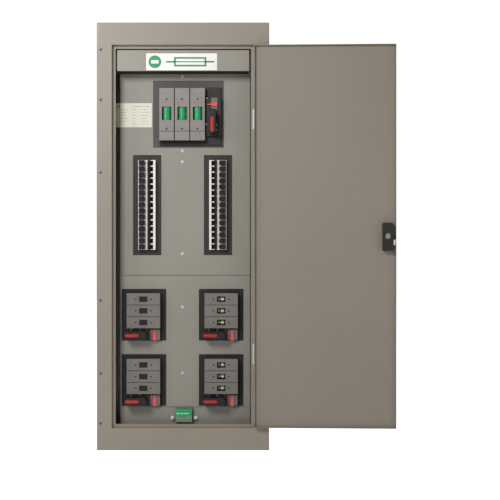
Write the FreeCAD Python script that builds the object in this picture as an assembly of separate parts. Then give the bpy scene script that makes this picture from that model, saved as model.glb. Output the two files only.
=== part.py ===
"""Fusible branch panelboard: a painted steel box with a trim frame, a hinged door and a dead-front.

Origin: middle of the box's back face, where it meets the wall. X runs to the right, Z up, and Y from the
front (negative) to the wall (zero). Depths are measured back from the trim's front face; the switchgear's are
measured forward from the dead-front and end in _OUT. Sizes are in millimetres.
"""
import FreeCAD, Part
import os

V = FreeCAD.Vector

# Overall sizes
TRIM_W = 512.0          # width of the trim frame
TRIM_H = 1270.0         # height of the trim frame
DEPTH = 148.0           # wall to the trim's front face

# Sheets
DOOR_SHEET = 1.9        # trim frame and door
BOX_SHEET = 1.6         # box, dead-front and mounting pan
BEND_R = 2.4            # outside radius of the folded edges

# Box
TRIM_SLIP = 0.5         # gap between the box and the trim's skirt
BOX_LIP = 20.0          # inward lip round the front of the box
MOUNT_INSET_X = 53.6    # box side to wall-mounting hole
MOUNT_INSET_Z = 82.6    # box end to wall-mounting hole
MOUNT_HOLE_R = 4.0
KNOCKOUT_R = 22.0       # conduit knock-outs, punched part way through both ends
KNOCKOUT_PITCH = 110.0
KNOCKOUT_COUNT = 3
KNOCKOUT_D = 80.0
KNOCKOUT_LINE = 0.8
KNOCKOUT_SUNK = 0.6

# Trim frame
BORDER_X = 44.5         # trim's side to the stepped recess that the door closes into
BORDER_Z = 66.0         # trim's end to the recess
RECESS_D = 13.0
LEDGE = 10.0            # ledge that the door closes against
SKIRT_D = 12.0
SCREW_INSET_X = 11.5
SCREW_INSET_Z = 80.0
SCREW_STEPS = (149.0, 216.0)    # from the end screws to the next ones towards the middle
SCREW_HEAD_R = 4.6
SCREW_HEAD_H = 2.2
SCREW_R = 2.4
SCREW_LENGTH = 9.0
SCREW_FIT = 0.1         # round a screw's shank
SCREW_HOLE_D = 8.0      # depth of the trim's screw holes

# Door and hinges
DOOR_GAP = 2.0          # free edge
DOOR_END_GAP = 4.0      # top and bottom
DOOR_FLANGE = 12.0
DOOR_ANGLE = 178.0      # as it stands open
HINGE_LEAF = 1.2
HINGE_LEAF_GAP = 0.8
HINGE_R = 3.5
HINGE_PROUD = 4.0       # hinge axis in front of the trim
HINGE_PIN_R = 1.5
HINGE_PIN_SNUG = 0.02
HINGE_PIN_FIT = 0.05
HINGE_L = 58.0
HINGE_SPLIT = 1.0
HINGE_IN = 222.0        # recess end to the middle of a hinge
HINGE_LEAF_D = 10.0

# Door latch, measured from the door's free edge
LATCH_EDGE = 10.0
LATCH_W = 31.0
LATCH_H = 83.0
LATCH_D = 22.0
LATCH_Z = -2.0
ESCUTCHEON_RIM = 2.0
ESCUTCHEON_T = 2.5
LATCH_CORNER_R = 4.0
LATCH_NECK_FIT = 0.2
LATCH_NECK_RIM = 3.0    # the latch's neck through the door is this much smaller all round
LOCK_EDGE = 25.5
LOCK_R = 7.5
LOCK_FIT = 0.08
LOCK_PROUD = 4.0
LOCK_WALL = 1.5         # bolt's slot to the lock's bore
CAM_L = 9.0
CAM_W = 5.0             # half width
CAM_T = 2.5
CAM_GAP = 0.5
BOLT_H = 16.0
BOLT_Z = -18.0
BOLT_T = 5.0
BOLT_REACH = 6.5        # beyond the ledge's edge
BOLT_TAIL = 17.0
BOLT_STEM = 8.0         # stem from the bolt out to its finger pad
PAD_RIM = 1.2
PAD_T = 2.5
PAD_GAP = 0.5
BOLT_FIT = 0.4
BOLT_TRAVEL = 9.0
LEDGE_CLEAR = 1.0       # bolt behind the ledge

# Dead-front
DEADFRONT_D = 60.0
DEADFRONT_GAP_LEFT = 7.5
DEADFRONT_GAP_RIGHT = 2.5
DEADFRONT_FLANGE = 12.0
DEADFRONT_SEAM = 1.2
INNER_X = -5.0          # centre line of the switchgear
HEADER_TOP_GAP = 4.0
HEADER_SIDE_GAP = 4.5
HEADER_H = 62.5
HEADER_D = 10.0
BASE_COVER_H = 44.0     # visible part of the bottom sheet
BASE_COVER_HIDDEN = 22.0

# Barrier plates behind the dead-front's cut-outs
BARRIER_T = 3.0
BARRIER_LAP = 2.5
BARRIER_FIT = 0.5

# Mounting pan
PAN_BACK = 18.0         # wall to the pan's face
PAN_MARGIN = 18.0
POST_W = 10.0

# Main switch
MAIN_GAP = 20.5         # header to cut-out
MAIN_RIM_LEFT = 20.75   # cut-out's left edge to the poles
MAIN_RIM_RIGHT = 8.0    # handle's housing to the cut-out's right edge
MAIN_RIM_TOP = 25.5
MAIN_RIM_BOTTOM = 20.5
POLE_PITCH = 46.5
POLE_GAP = 3.0
POLE_H = 157.0
SHROUD_H = 27.0
BASE_BELOW = 14.0       # base beyond the poles
BASE_ABOVE = 4.0
COVER_OUT = 24.0        # covers' faces
BASE_OUT = 4.0          # bases' faces
COVER_WALL = 2.0
COVER_GAP = 0.5
COVER_HINGE_GAP = 1.0
MAIN_WINDOW_W = 28.0
MAIN_WINDOW_H = 40.0
MAIN_WINDOW_UP = 32.5   # hinge edge to window
TEST_HOLE_R = 2.0
TEST_HOLE_UP = 6.5      # cover's hinge edge to the lower test hole
TEST_HOLE_DOWN = 33.5   # cover's top to the upper one
FUSE_OUT = 8.0          # fuses' axes
MAIN_FUSE_R = 10.5
MAIN_FUSE_L = 58.0
FUSE_FIT = 0.1
MECHANISM_OUT = 14.0    # face of the rose behind a handle
MECHANISM_GAP = 3.0
MECHANISM_W = 45.75
MECHANISM_UP = 52.0     # housing above and below the handle's shaft
MECHANISM_DOWN = 62.0
MAIN_HUB_X = 19.3       # housing's left edge to the shaft
MAIN_HUB_Z = 82.0       # poles' top to the shaft

# Rotary handles
HUB_R = 15.0
LEVER_L = 60.0
LEVER_W = 24.0
LEVER_OUT = 44.0        # lever's face
LEVER_T = 18.0
SHAFT_R = 5.0
SHAFT_L = 12.0
SHAFT_FIT = 0.06
HUB_GAP = 0.5
ROSE_R = 22.0
ROSE_T = 1.5
MAIN_HANDLE_TURN = 0.0  # lever hangs down
BRANCH_HANDLE_TURN = 90.0   # lever points left

# Branch switches
BRANCH_MARGIN = 12.1    # dead-front's edge to cut-out, on average
BRANCH_RISE = 3.0       # bottom seam to lowest cut-out
BRANCH_ROW_GAP = 41.0
BRANCH_SEAM_GAP = 41.0
BRANCH_POLE_H = 35.0
BRANCH_POLE_W = 100.0
BRANCH_RIM_TOP = 12.5
BRANCH_RIM_LEFT = 18.0
BRANCH_RIM_RIGHT = 17.0
BRANCH_RIM_BOTTOM = 3.0
BRANCH_MECHANISM_H = 39.0   # poles to the cut-out's bottom
BRANCH_HUB_X = 70.0     # cut-out's left edge to the handle's shaft
BRANCH_HUB_Z = 18.5     # cut-out's bottom to the handle's shaft
BRANCH_WINDOW_W = 25.0
BRANCH_WINDOW_H = 16.5
BRANCH_HOLE_X = 23.0    # middle of a pole to its test holes
BRANCH_GROOVE_D = 1.0
BRANCH_GROOVE_W = 1.2
BRANCH_FUSE_R = 7.0
BRANCH_FUSE_L = 44.0

# Branch strips: three-pole fused switches on a DIN rail
MODULE_PITCH = 18.05
MODULE_POLES = 3
STRIP_GROUPS = 5
MODULE_GAP = 0.15
MODULE_W = 52.5
STRIP_GAP = 22.0        # main cut-out to strip cut-out
STRIP_RIM_X = 16.6      # modules to the cut-out's edges
STRIP_RIM_Z = 16.1
STRIP_IN = 9.7          # strips stand nearer the centre line than the branch switches
NOSE_OUT = 14.0         # modules' highest faces
CARRIER_FLOOR_OUT = 10.0
CARRIER_U = (1.6, 23.2) # carrier across the module, from its outer edge
WALL_U = (23.5, 28.5)   # wall between the carriers and the toggles
CHANNEL_U = (28.5, 45.5)
CHANNEL_DEPTH = 15.0
CHANNEL_RIB_DEPTH = 4.0
CHANNEL_RIB_T = 4.0
CARRIER_PLATE_T = 2.5
CARRIER_SEAT = 0.5
CARRIER_FIT = 0.4
KNOB_T = 7.0
KNOB_W = 19.0
KNOB_H = 14.6
STEM_W = 11.0
STEM_L = 36.0
STEM_END_GAP = 2.0
TOGGLE_PIVOT_DEPTH = 10.0
TOGGLE_LENGTH = 16.0
TOGGLE_TAIL = 3.0
TOGGLE_T = 5.0
TOGGLE_W = 12.5
TOGGLE_TIE = 4.0
TOGGLE_LEAN = 28.0

# DIN rail, 35 mm
RAIL_W = 35.0
RAIL_WEB = 25.0
RAIL_D = 7.5
RAIL_T = 1.0
RAIL_END = 12.0

# Busbars
BAR_W = 25.0
BAR_T = 6.0
BAR_PITCH = 34.0
BAR_FIT = 0.2
BAR_FROM_PAN = 22.0
BAR_RISE = 40.0         # lowest cut-out's bottom to the bars' ends
SUPPORT_H = 30.0
SUPPORT_RIM = 6.0
SUPPORT_FRONT = 10.0    # support in front of the bars
TERMINAL_BAR_W = 14.0
TERMINAL_BAR_T = 12.0
TERMINAL_BAR_L = 240.0
TERMINAL_PITCH = 15.0
TERMINAL_SCREW_R = 3.0
TERMINAL_BAR_IN = 34.0  # from the trim's side
NEUTRAL_Z = 120.0
GROUND_Z = -250.0
INSULATOR_D = 14.0
INSULATOR_H = 30.0
INSULATOR_RIM = 2.0
INSULATOR_PLACE = 0.4   # from the bar's middle, as a share of its length

# Surge protector
SURGE_W = 52.6
SURGE_H = 74.0
SURGE_RIGHT = 4.7       # right of the centre line
SURGE_TOP = 2.0         # below the bottom seam
SURGE_NOSE_OUT = 18.0
SURGE_STEP_OUT = 8.0
SURGE_RAIL_END = 2.0
SURGE_POLES = 3
CARTRIDGE_FIT = 0.3
CARTRIDGE_H = 42.0
CARTRIDGE_UP = 2.0
CARTRIDGE_L = 40.0
CARTRIDGE_WALL = 1.5
SURGE_FIT = 0.6
THUMB_X = 35.0
THUMB_Z = 32.0          # below the bottom seam
THUMB_R = 6.0
THUMB_H = 9.0
THUMB_CHAMFER = 1.0

# Screws on the dead-front's centre line
HEADER_SCREW_GAP = 7.5  # below the header
MAIN_SCREW_GAP = 9.0    # below the main cut-out
STRIP_SCREW_DOWN = 21.0     # below the strips' tops
STRIP_SCREW_UP = 4.0    # above the strip cut-outs' bottoms
UPPER_SCREW_UP = 23.0   # above the middles of the branch cut-outs
LOWER_SCREW_UP = 21.0

FRONT = -DEPTH


def block(x0, x1, d0, d1, z0, z1):
    """A box between two X, two depths and two heights."""
    return Part.makeBox(x1 - x0, d1 - d0, z1 - z0, V(x0, FRONT + d0, z0))


def centred(cx, w, d0, d1, cz, h):
    """A box given by its middle and size across and up."""
    return block(cx - w / 2, cx + w / 2, d0, d1, cz - h / 2, cz + h / 2)


def rod(x, z, r, d0, d1):
    """A cylinder that runs front to back."""
    return Part.makeCylinder(r, d1 - d0, V(x, FRONT + d0, z), V(0, 1, 0))


def ring(outer_w, outer_h, inner_w, inner_h, d0, d1):
    """A rectangular frame about the origin."""
    return centred(0, outer_w, d0, d1, 0, outer_h).cut(centred(0, inner_w, d0, d1, 0, inner_h))


def join(*shapes):
    """One solid from several that touch or overlap."""
    return shapes[0].fuse(list(shapes[1:])).removeSplitter()


def take(shape, tools):
    """The shape with the tools cut away."""
    return shape.cut(tools).removeSplitter() if tools else shape


def round_front(shape, radius):
    """Rounds a box's front edges and the corners behind them."""
    near = shape.BoundBox.YMin
    edges = [e for e in shape.Edges if min(v.Y for v in e.Vertexes) < near + 1e-6]
    return shape.makeFillet(radius, edges)


def save(name, *shapes):
    """Writes a node's solids to its STEP file."""
    shape = shapes[0] if len(shapes) == 1 else Part.makeCompound(list(shapes))
    shape.exportStep(os.path.join("parts", name + ".step"))


# Places that follow from the sizes
BOX_W = TRIM_W - 2 * (DOOR_SHEET + TRIM_SLIP)
BOX_H = TRIM_H - 2 * (DOOR_SHEET + TRIM_SLIP)
RECESS_W = TRIM_W - 2 * BORDER_X
RECESS_H = TRIM_H - 2 * BORDER_Z
OPENING_W = RECESS_W - 2 * LEDGE
OPENING_H = RECESS_H - 2 * LEDGE
OPENING_TOP = OPENING_H / 2
LEDGE_BACK = RECESS_D + DOOR_SHEET
BOX_BACK = DEPTH - BOX_SHEET
HINGE_GAP = 2 * HINGE_LEAF + HINGE_LEAF_GAP
HINGE_X = RECESS_W / 2 - HINGE_GAP / 2
HINGE_ZS = (RECESS_H / 2 - HINGE_IN, HINGE_IN - RECESS_H / 2)
DOOR_LEFT = DOOR_GAP - RECESS_W / 2
DOOR_RIGHT = RECESS_W / 2 - HINGE_GAP
DOOR_TOP = RECESS_H / 2 - DOOR_END_GAP

SHEET_LEFT = DEADFRONT_GAP_LEFT - OPENING_W / 2
SHEET_RIGHT = OPENING_W / 2 - DEADFRONT_GAP_RIGHT
SHEET_BACK = DEADFRONT_D + BOX_SHEET
HEADER_TOP = OPENING_TOP - HEADER_TOP_GAP
HEADER_BOTTOM = HEADER_TOP - HEADER_H
BOTTOM_SEAM = BASE_COVER_H - OPENING_TOP

PAN_D = DEPTH - PAN_BACK
BAR_D = PAN_D - BAR_FROM_PAN
COVER_FRONT = DEADFRONT_D - COVER_OUT
BASE_FRONT = DEADFRONT_D - BASE_OUT
FUSE_D = DEADFRONT_D - FUSE_OUT
MECHANISM_D = DEADFRONT_D - MECHANISM_OUT
LEVER_D = DEADFRONT_D - LEVER_OUT
NOSE_D = DEADFRONT_D - NOSE_OUT
CARRIER_FLOOR_D = DEADFRONT_D - CARRIER_FLOOR_OUT
TOGGLE_PIVOT_D = NOSE_D + TOGGLE_PIVOT_DEPTH
SURGE_NOSE_D = DEADFRONT_D - SURGE_NOSE_OUT
SURGE_STEP_D = DEADFRONT_D - SURGE_STEP_OUT

POLE_W = POLE_PITCH - POLE_GAP
POLE_XS = [INNER_X + n * POLE_PITCH for n in (-1, 0, 1)]
POLES_LEFT = POLE_XS[0] - POLE_W / 2
MECHANISM_X0 = POLE_XS[2] + POLE_W / 2 + MECHANISM_GAP
MECHANISM_X1 = MECHANISM_X0 + MECHANISM_W
MAIN_CUT_W = MAIN_RIM_LEFT + MECHANISM_X1 - POLES_LEFT + MAIN_RIM_RIGHT
MAIN_CUT_H = MAIN_RIM_TOP + POLE_H + MAIN_RIM_BOTTOM
MAIN_X = POLES_LEFT - MAIN_RIM_LEFT + MAIN_CUT_W / 2
MAIN_TOP = HEADER_BOTTOM - MAIN_GAP
MAIN_BOTTOM = MAIN_TOP - MAIN_CUT_H
POLES_BOTTOM = MAIN_BOTTOM + MAIN_RIM_BOTTOM
POLES_TOP = POLES_BOTTOM + POLE_H
MAIN_COVER_BOTTOM = POLES_BOTTOM + SHROUD_H + COVER_HINGE_GAP
MAIN_HUB = (MECHANISM_X0 + MAIN_HUB_X, POLES_TOP - MAIN_HUB_Z)
MAIN_BASE = (POLES_LEFT, MECHANISM_X1, POLES_BOTTOM - BASE_BELOW, POLES_TOP + BASE_ABOVE)
MAIN_FUSE_Z = MAIN_COVER_BOTTOM + MAIN_WINDOW_UP + MAIN_WINDOW_H / 2

BRANCH_CUT_W = BRANCH_RIM_LEFT + BRANCH_POLE_W + BRANCH_RIM_RIGHT
BRANCH_CUT_H = BRANCH_RIM_TOP + 3 * BRANCH_POLE_H + BRANCH_MECHANISM_H
STRIP_CUT_W = MODULE_W + 2 * STRIP_RIM_X

COLUMN_STEP = (SHEET_RIGHT - SHEET_LEFT) / 2 - BRANCH_MARGIN - BRANCH_CUT_W / 2
STRIP_STEP = COLUMN_STEP - STRIP_IN
LOWER_Z = BOTTOM_SEAM + BRANCH_RISE
UPPER_Z = LOWER_Z + BRANCH_CUT_H + BRANCH_ROW_GAP
MIDDLE_SEAM = UPPER_Z + BRANCH_CUT_H + BRANCH_SEAM_GAP
BRANCHES = {
    "upper_left": (INNER_X - COLUMN_STEP, UPPER_Z),
    "upper_right": (INNER_X + COLUMN_STEP, UPPER_Z),
    "lower_left": (INNER_X - COLUMN_STEP, LOWER_Z),
    "lower_right": (INNER_X + COLUMN_STEP, LOWER_Z),
}

GROUP_H = MODULE_POLES * MODULE_PITCH
MODULES_H = STRIP_GROUPS * GROUP_H
STRIP_TOP = MAIN_BOTTOM - STRIP_GAP
STRIP_CUT_H = MODULES_H + 2 * STRIP_RIM_Z
STRIP_Z = STRIP_TOP - STRIP_CUT_H / 2
RAIL_FRONT = PAN_D - RAIL_D
SIDES = {"left": -1, "right": 1}

SURGE_X = INNER_X + SURGE_RIGHT
SURGE_TOP_Z = BOTTOM_SEAM - SURGE_TOP
COVER_SCREWS = (
    HEADER_BOTTOM - HEADER_SCREW_GAP,
    MAIN_BOTTOM - MAIN_SCREW_GAP,
    STRIP_TOP - STRIP_SCREW_DOWN,
    STRIP_TOP - STRIP_CUT_H + STRIP_SCREW_UP,
    UPPER_Z + BRANCH_CUT_H / 2 + UPPER_SCREW_UP,
    LOWER_Z + BRANCH_CUT_H / 2 + LOWER_SCREW_UP,
)


def strip_x(side, u):
    """X of a point on a strip's modules, u from their outer edge."""
    return INNER_X + side * (STRIP_STEP + MODULE_W / 2 - u)


def strip_block(side, u0, u1, d0, d1, z0, z1):
    """A box on a strip's modules, between two places across them."""
    xs = sorted((strip_x(side, u0), strip_x(side, u1)))
    return block(xs[0], xs[1], d0, d1, z0, z1)


# Box and trim

def trim_screw_places():
    """Where the trim's screws stand, down both sides."""
    first = TRIM_H / 2 - SCREW_INSET_Z
    heights = [first, first - SCREW_STEPS[0], first - sum(SCREW_STEPS)]
    heights += [-z for z in heights]
    return [(side * (TRIM_W / 2 - SCREW_INSET_X), z) for side in (-1, 1) for z in heights]


def mount_places():
    """Where the box is screwed to the wall."""
    x = BOX_W / 2 - MOUNT_INSET_X
    z = BOX_H / 2 - MOUNT_INSET_Z
    return [(sx * x, sz * z) for sx in (-1, 1) for sz in (-1, 1)]


def enclosure_box():
    inner_w = BOX_W - 2 * BOX_SHEET
    inner_h = BOX_H - 2 * BOX_SHEET
    shell = centred(0, BOX_W, DOOR_SHEET, DEPTH, 0, BOX_H)
    shell = shell.cut(centred(0, inner_w, DOOR_SHEET + BOX_SHEET, BOX_BACK, 0, inner_h))
    mouth = centred(0, inner_w - 2 * BOX_LIP, 0, DEPTH / 2, 0, inner_h - 2 * BOX_LIP)
    holes = [rod(x, z, MOUNT_HOLE_R, DEPTH / 2, DEPTH + 1) for x, z in mount_places()]
    holes += [rod(x, z, SCREW_R + SCREW_FIT, 0, SCREW_HOLE_D) for x, z in trim_screw_places()]
    return take(shell, [mouth] + holes + knockouts())


def knockouts():
    """The rings punched round the conduit knock-outs in both ends."""
    rings = []
    for z in (BOX_H / 2 - KNOCKOUT_SUNK, -BOX_H / 2 - 1):
        for n in range(KNOCKOUT_COUNT):
            at = V((n - (KNOCKOUT_COUNT - 1) / 2) * KNOCKOUT_PITCH, FRONT + KNOCKOUT_D, z)
            outer = Part.makeCylinder(KNOCKOUT_R, KNOCKOUT_SUNK + 1, at)
            rings.append(outer.cut(Part.makeCylinder(KNOCKOUT_R - KNOCKOUT_LINE, KNOCKOUT_SUNK + 1, at)))
    return rings


def trim_frame():
    face = round_front(centred(0, TRIM_W, 0, SKIRT_D, 0, TRIM_H), BEND_R)
    face = face.cut(centred(0, TRIM_W - 2 * DOOR_SHEET, DOOR_SHEET, SKIRT_D + 1, 0, TRIM_H - 2 * DOOR_SHEET))
    face = face.cut(centred(0, RECESS_W, -1, DOOR_SHEET + 1, 0, RECESS_H))
    wall = ring(RECESS_W + 2 * DOOR_SHEET, RECESS_H + 2 * DOOR_SHEET, RECESS_W, RECESS_H, 0.5, LEDGE_BACK)
    ledge = ring(RECESS_W + DOOR_SHEET, RECESS_H + DOOR_SHEET, OPENING_W, OPENING_H, RECESS_D, LEDGE_BACK)
    frame = join(face, wall, ledge)
    return take(frame, [rod(x, z, SCREW_R + SCREW_FIT, -1, SCREW_HOLE_D) for x, z in trim_screw_places()])


def cover_screw(x, z, front):
    """A round-headed screw that stands on a sheet's face."""
    head = rod(x, z, SCREW_HEAD_R, front - SCREW_HEAD_H, front)
    head = head.makeFillet(SCREW_HEAD_H * 0.6, [head.Edges[i] for i in front_edges(head)])
    return join(head, rod(x, z, SCREW_R, front - SCREW_HEAD_H / 2, front + SCREW_LENGTH))


def front_edges(shape):
    """Numbers of the round edges on a shape's front face."""
    near = shape.BoundBox.YMin + 1e-6
    return [i for i, e in enumerate(shape.Edges) if e.BoundBox.YMax < near]


def thumb_screw(x, z):
    head = rod(x, z, THUMB_R, DEADFRONT_D - THUMB_H, DEADFRONT_D)
    head = head.makeChamfer(THUMB_CHAMFER, [head.Edges[i] for i in front_edges(head)])
    return join(head, rod(x, z, SCREW_R, DEADFRONT_D - THUMB_H / 2, DEADFRONT_D + SCREW_LENGTH))


def thumb_screw_places():
    return [(SURGE_X + side * THUMB_X, BOTTOM_SEAM - THUMB_Z) for side in (-1, 1)]


def fasteners():
    screws = [cover_screw(x, z, 0) for x, z in trim_screw_places()]
    screws += [cover_screw(INNER_X, z, DEADFRONT_D) for z in COVER_SCREWS]
    return screws + [thumb_screw(x, z) for x, z in thumb_screw_places()]


# Dead-front

def sheet(z0, z1):
    """A dead-front sheet with a return down each side."""
    face = block(SHEET_LEFT, SHEET_RIGHT, DEADFRONT_D, SHEET_BACK, z0, z1)
    back = DEADFRONT_D + DEADFRONT_FLANGE
    left = block(SHEET_LEFT, SHEET_LEFT + BOX_SHEET, DEADFRONT_D, back, z0, z1)
    right = block(SHEET_RIGHT - BOX_SHEET, SHEET_RIGHT, DEADFRONT_D, back, z0, z1)
    return join(face, left, right)


def screw_clearances():
    return [rod(INNER_X, z, SCREW_R + SCREW_FIT, DEADFRONT_D - 1, SHEET_BACK + 1) for z in COVER_SCREWS]


def cutout(cx, cz, w, h):
    return centred(cx, w, DEADFRONT_D - 1, SHEET_BACK + 1, cz, h)


def deadfront_upper():
    cuts = [cutout(MAIN_X, MAIN_TOP - MAIN_CUT_H / 2, MAIN_CUT_W, MAIN_CUT_H)]
    for side in SIDES.values():
        cuts.append(cutout(INNER_X + side * STRIP_STEP, STRIP_Z, STRIP_CUT_W, STRIP_CUT_H))
    return take(sheet(MIDDLE_SEAM + DEADFRONT_SEAM / 2, HEADER_TOP - 2), cuts + screw_clearances())


def deadfront_lower():
    cuts = [cutout(x, z + BRANCH_CUT_H / 2, BRANCH_CUT_W, BRANCH_CUT_H) for x, z in BRANCHES.values()]
    plain = sheet(BOTTOM_SEAM + DEADFRONT_SEAM / 2, MIDDLE_SEAM - DEADFRONT_SEAM / 2)
    return take(plain, cuts + screw_clearances())


def deadfront_base():
    top = BOTTOM_SEAM - DEADFRONT_SEAM / 2
    bottom = -OPENING_TOP - BASE_COVER_HIDDEN
    mouth = block(SURGE_X - SURGE_W / 2 - SURGE_FIT, SURGE_X + SURGE_W / 2 + SURGE_FIT,
                  DEADFRONT_D - 1, SHEET_BACK + 1, bottom - 1, SURGE_TOP_Z + SURGE_FIT)
    holes = [rod(x, z, SCREW_R + SCREW_FIT, DEADFRONT_D - 1, SHEET_BACK + 1) for x, z in thumb_screw_places()]
    return take(sheet(bottom, top), [mouth] + holes)


def header_plate():
    w = OPENING_W - 2 * HEADER_SIDE_GAP
    middle = (HEADER_TOP + HEADER_BOTTOM) / 2
    face = centred(0, w, HEADER_D, DEADFRONT_D, middle, HEADER_H)
    inside = centred(0, w - 2 * BOX_SHEET, HEADER_D + BOX_SHEET, DEADFRONT_D + 1, middle,
                     HEADER_H - 2 * BOX_SHEET)
    return face.cut(inside)


def barrier(cx, cz, w, h, hole):
    """A plate behind a cut-out, open for the switch that stands through it."""
    plate = centred(cx, w + 2 * BARRIER_LAP, SHEET_BACK, SHEET_BACK + BARRIER_T, cz, h + 2 * BARRIER_LAP)
    return plate.cut(hole)


def opening_for(x0, x1, z0, z1):
    """The hole in a barrier plate for a switch of this size."""
    fit = BARRIER_FIT
    return block(x0 - fit, x1 + fit, SHEET_BACK - 1, SHEET_BACK + BARRIER_T + 1, z0 - fit, z1 + fit)


def barrier_plates():
    plates = [barrier(MAIN_X, MAIN_TOP - MAIN_CUT_H / 2, MAIN_CUT_W, MAIN_CUT_H, opening_for(*MAIN_BASE))]
    for side in SIDES.values():
        xs = sorted((strip_x(side, 0), strip_x(side, MODULE_W)))
        hole = opening_for(xs[0], xs[1], STRIP_Z - MODULES_H / 2, STRIP_Z + MODULES_H / 2)
        plates.append(barrier(INNER_X + side * STRIP_STEP, STRIP_Z, STRIP_CUT_W, STRIP_CUT_H, hole))
    for x, z in BRANCHES.values():
        hole = opening_for(*branch_base_span(x, z))
        plates.append(barrier(x, z + BRANCH_CUT_H / 2, BRANCH_CUT_W, BRANCH_CUT_H, hole))
    return plates


# Main switch

def main_switch_base():
    x0, x1, z0, z1 = MAIN_BASE
    body = block(x0, x1, BASE_FRONT, PAN_D, z0, z1)
    parts = []
    for x in POLE_XS:
        parts.append(centred(x, POLE_W, COVER_FRONT, BASE_FRONT + 1, POLES_BOTTOM + SHROUD_H / 2, SHROUD_H))
    hub_x, hub_z = MAIN_HUB
    parts.append(block(MECHANISM_X0, x1, MECHANISM_D + ROSE_T, BASE_FRONT + 1,
                       hub_z - MECHANISM_DOWN, hub_z + MECHANISM_UP))
    parts.append(rod(hub_x, hub_z, ROSE_R, MECHANISM_D, BASE_FRONT + 1))
    body = join(body, *parts)
    cuts = [rod(hub_x, hub_z, SHAFT_R + SHAFT_FIT, MECHANISM_D - 1, MECHANISM_D + SHAFT_L + 1)]
    for x in POLE_XS:
        cuts.append(upright(x, MAIN_FUSE_Z, MAIN_FUSE_R + FUSE_FIT, MAIN_FUSE_L + 2 * FUSE_FIT))
    return take(body, cuts)


def upright(x, z, r, length):
    """A cylinder that stands upright on the fuses' depth."""
    return Part.makeCylinder(r, length, V(x, FRONT + FUSE_D, z - length / 2), V(0, 0, 1))


def level(x, z, r, length):
    """A cylinder that lies across on the fuses' depth."""
    return Part.makeCylinder(r, length, V(x - length / 2, FRONT + FUSE_D, z), V(1, 0, 0))


def main_cover(x):
    """A pole's cover: a face and three walls, open at the back and at its hinge edge."""
    z0, z1 = MAIN_COVER_BOTTOM, POLES_TOP
    back = BASE_FRONT - COVER_GAP
    shell = block(x - POLE_W / 2, x + POLE_W / 2, COVER_FRONT, back, z0, z1)
    hollow = block(x - POLE_W / 2 + COVER_WALL, x + POLE_W / 2 - COVER_WALL,
                   COVER_FRONT + COVER_WALL, back + 1, z0 - 1, z1 - COVER_WALL)
    window = centred(x, MAIN_WINDOW_W, COVER_FRONT - 1, COVER_FRONT + COVER_WALL + 1, MAIN_FUSE_Z,
                     MAIN_WINDOW_H)
    holes = [rod(x, z, TEST_HOLE_R, COVER_FRONT - 1, COVER_FRONT + COVER_WALL + 1)
             for z in (z0 + TEST_HOLE_UP, z1 - TEST_HOLE_DOWN)]
    return take(shell, [hollow, window] + holes)


# Rotary handles

def handle(hub, turn):
    """A handle whose lever hangs down from its hub, then turned clockwise as seen from the front."""
    x, z = hub
    back = MECHANISM_D - HUB_GAP
    lever = block(x - LEVER_W / 2, x + LEVER_W / 2, LEVER_D, LEVER_D + LEVER_T, z - LEVER_L + LEVER_W / 2, z)
    tip = rod(x, z - LEVER_L + LEVER_W / 2, LEVER_W / 2, LEVER_D, LEVER_D + LEVER_T)
    eye = rod(x, z, LEVER_W / 2, LEVER_D, LEVER_D + LEVER_T)
    neck = rod(x, z, HUB_R, LEVER_D + LEVER_T - 2, back)
    shaft = rod(x, z, SHAFT_R, back - 1, back + SHAFT_L)
    shape = join(lever, tip, eye, neck, shaft)
    shape.rotate(V(x, 0, z), V(0, 1, 0), turn)
    return shape


# Branch switches: the main switch's pattern, smaller and on its side

def branch_poles(x):
    """Left and right edges of a branch switch's poles."""
    left = x - BRANCH_CUT_W / 2 + BRANCH_RIM_LEFT
    return left, left + BRANCH_POLE_W


def branch_base_span(x, z):
    left, right = branch_poles(x)
    return left, right, z + BRANCH_RIM_BOTTOM, z + BRANCH_CUT_H - BRANCH_RIM_TOP


def branch_pole_zs(z):
    top = z + BRANCH_CUT_H - BRANCH_RIM_TOP
    return [top - (n + 0.5) * BRANCH_POLE_H for n in range(3)]


def branch_hub(x, z):
    return x - BRANCH_CUT_W / 2 + BRANCH_HUB_X, z + BRANCH_HUB_Z


def branch_base(x, z):
    x0, x1, z0, z1 = branch_base_span(x, z)
    hub_x, hub_z = branch_hub(x, z)
    body = block(x0, x1, BASE_FRONT, PAN_D, z0, z1)
    housing = block(x0, x1, MECHANISM_D + ROSE_T, BASE_FRONT + 1, z0, z1 - 3 * BRANCH_POLE_H - MECHANISM_GAP)
    rose = rod(hub_x, hub_z, HUB_R, MECHANISM_D, BASE_FRONT + 1)
    body = join(body, housing, rose)
    cuts = [rod(hub_x, hub_z, SHAFT_R + SHAFT_FIT, MECHANISM_D - 1, MECHANISM_D + SHAFT_L + 1)]
    for pole_z in branch_pole_zs(z):
        cuts.append(level((x0 + x1) / 2, pole_z, BRANCH_FUSE_R + FUSE_FIT, BRANCH_FUSE_L + 2 * FUSE_FIT))
    return take(body, cuts)


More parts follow.
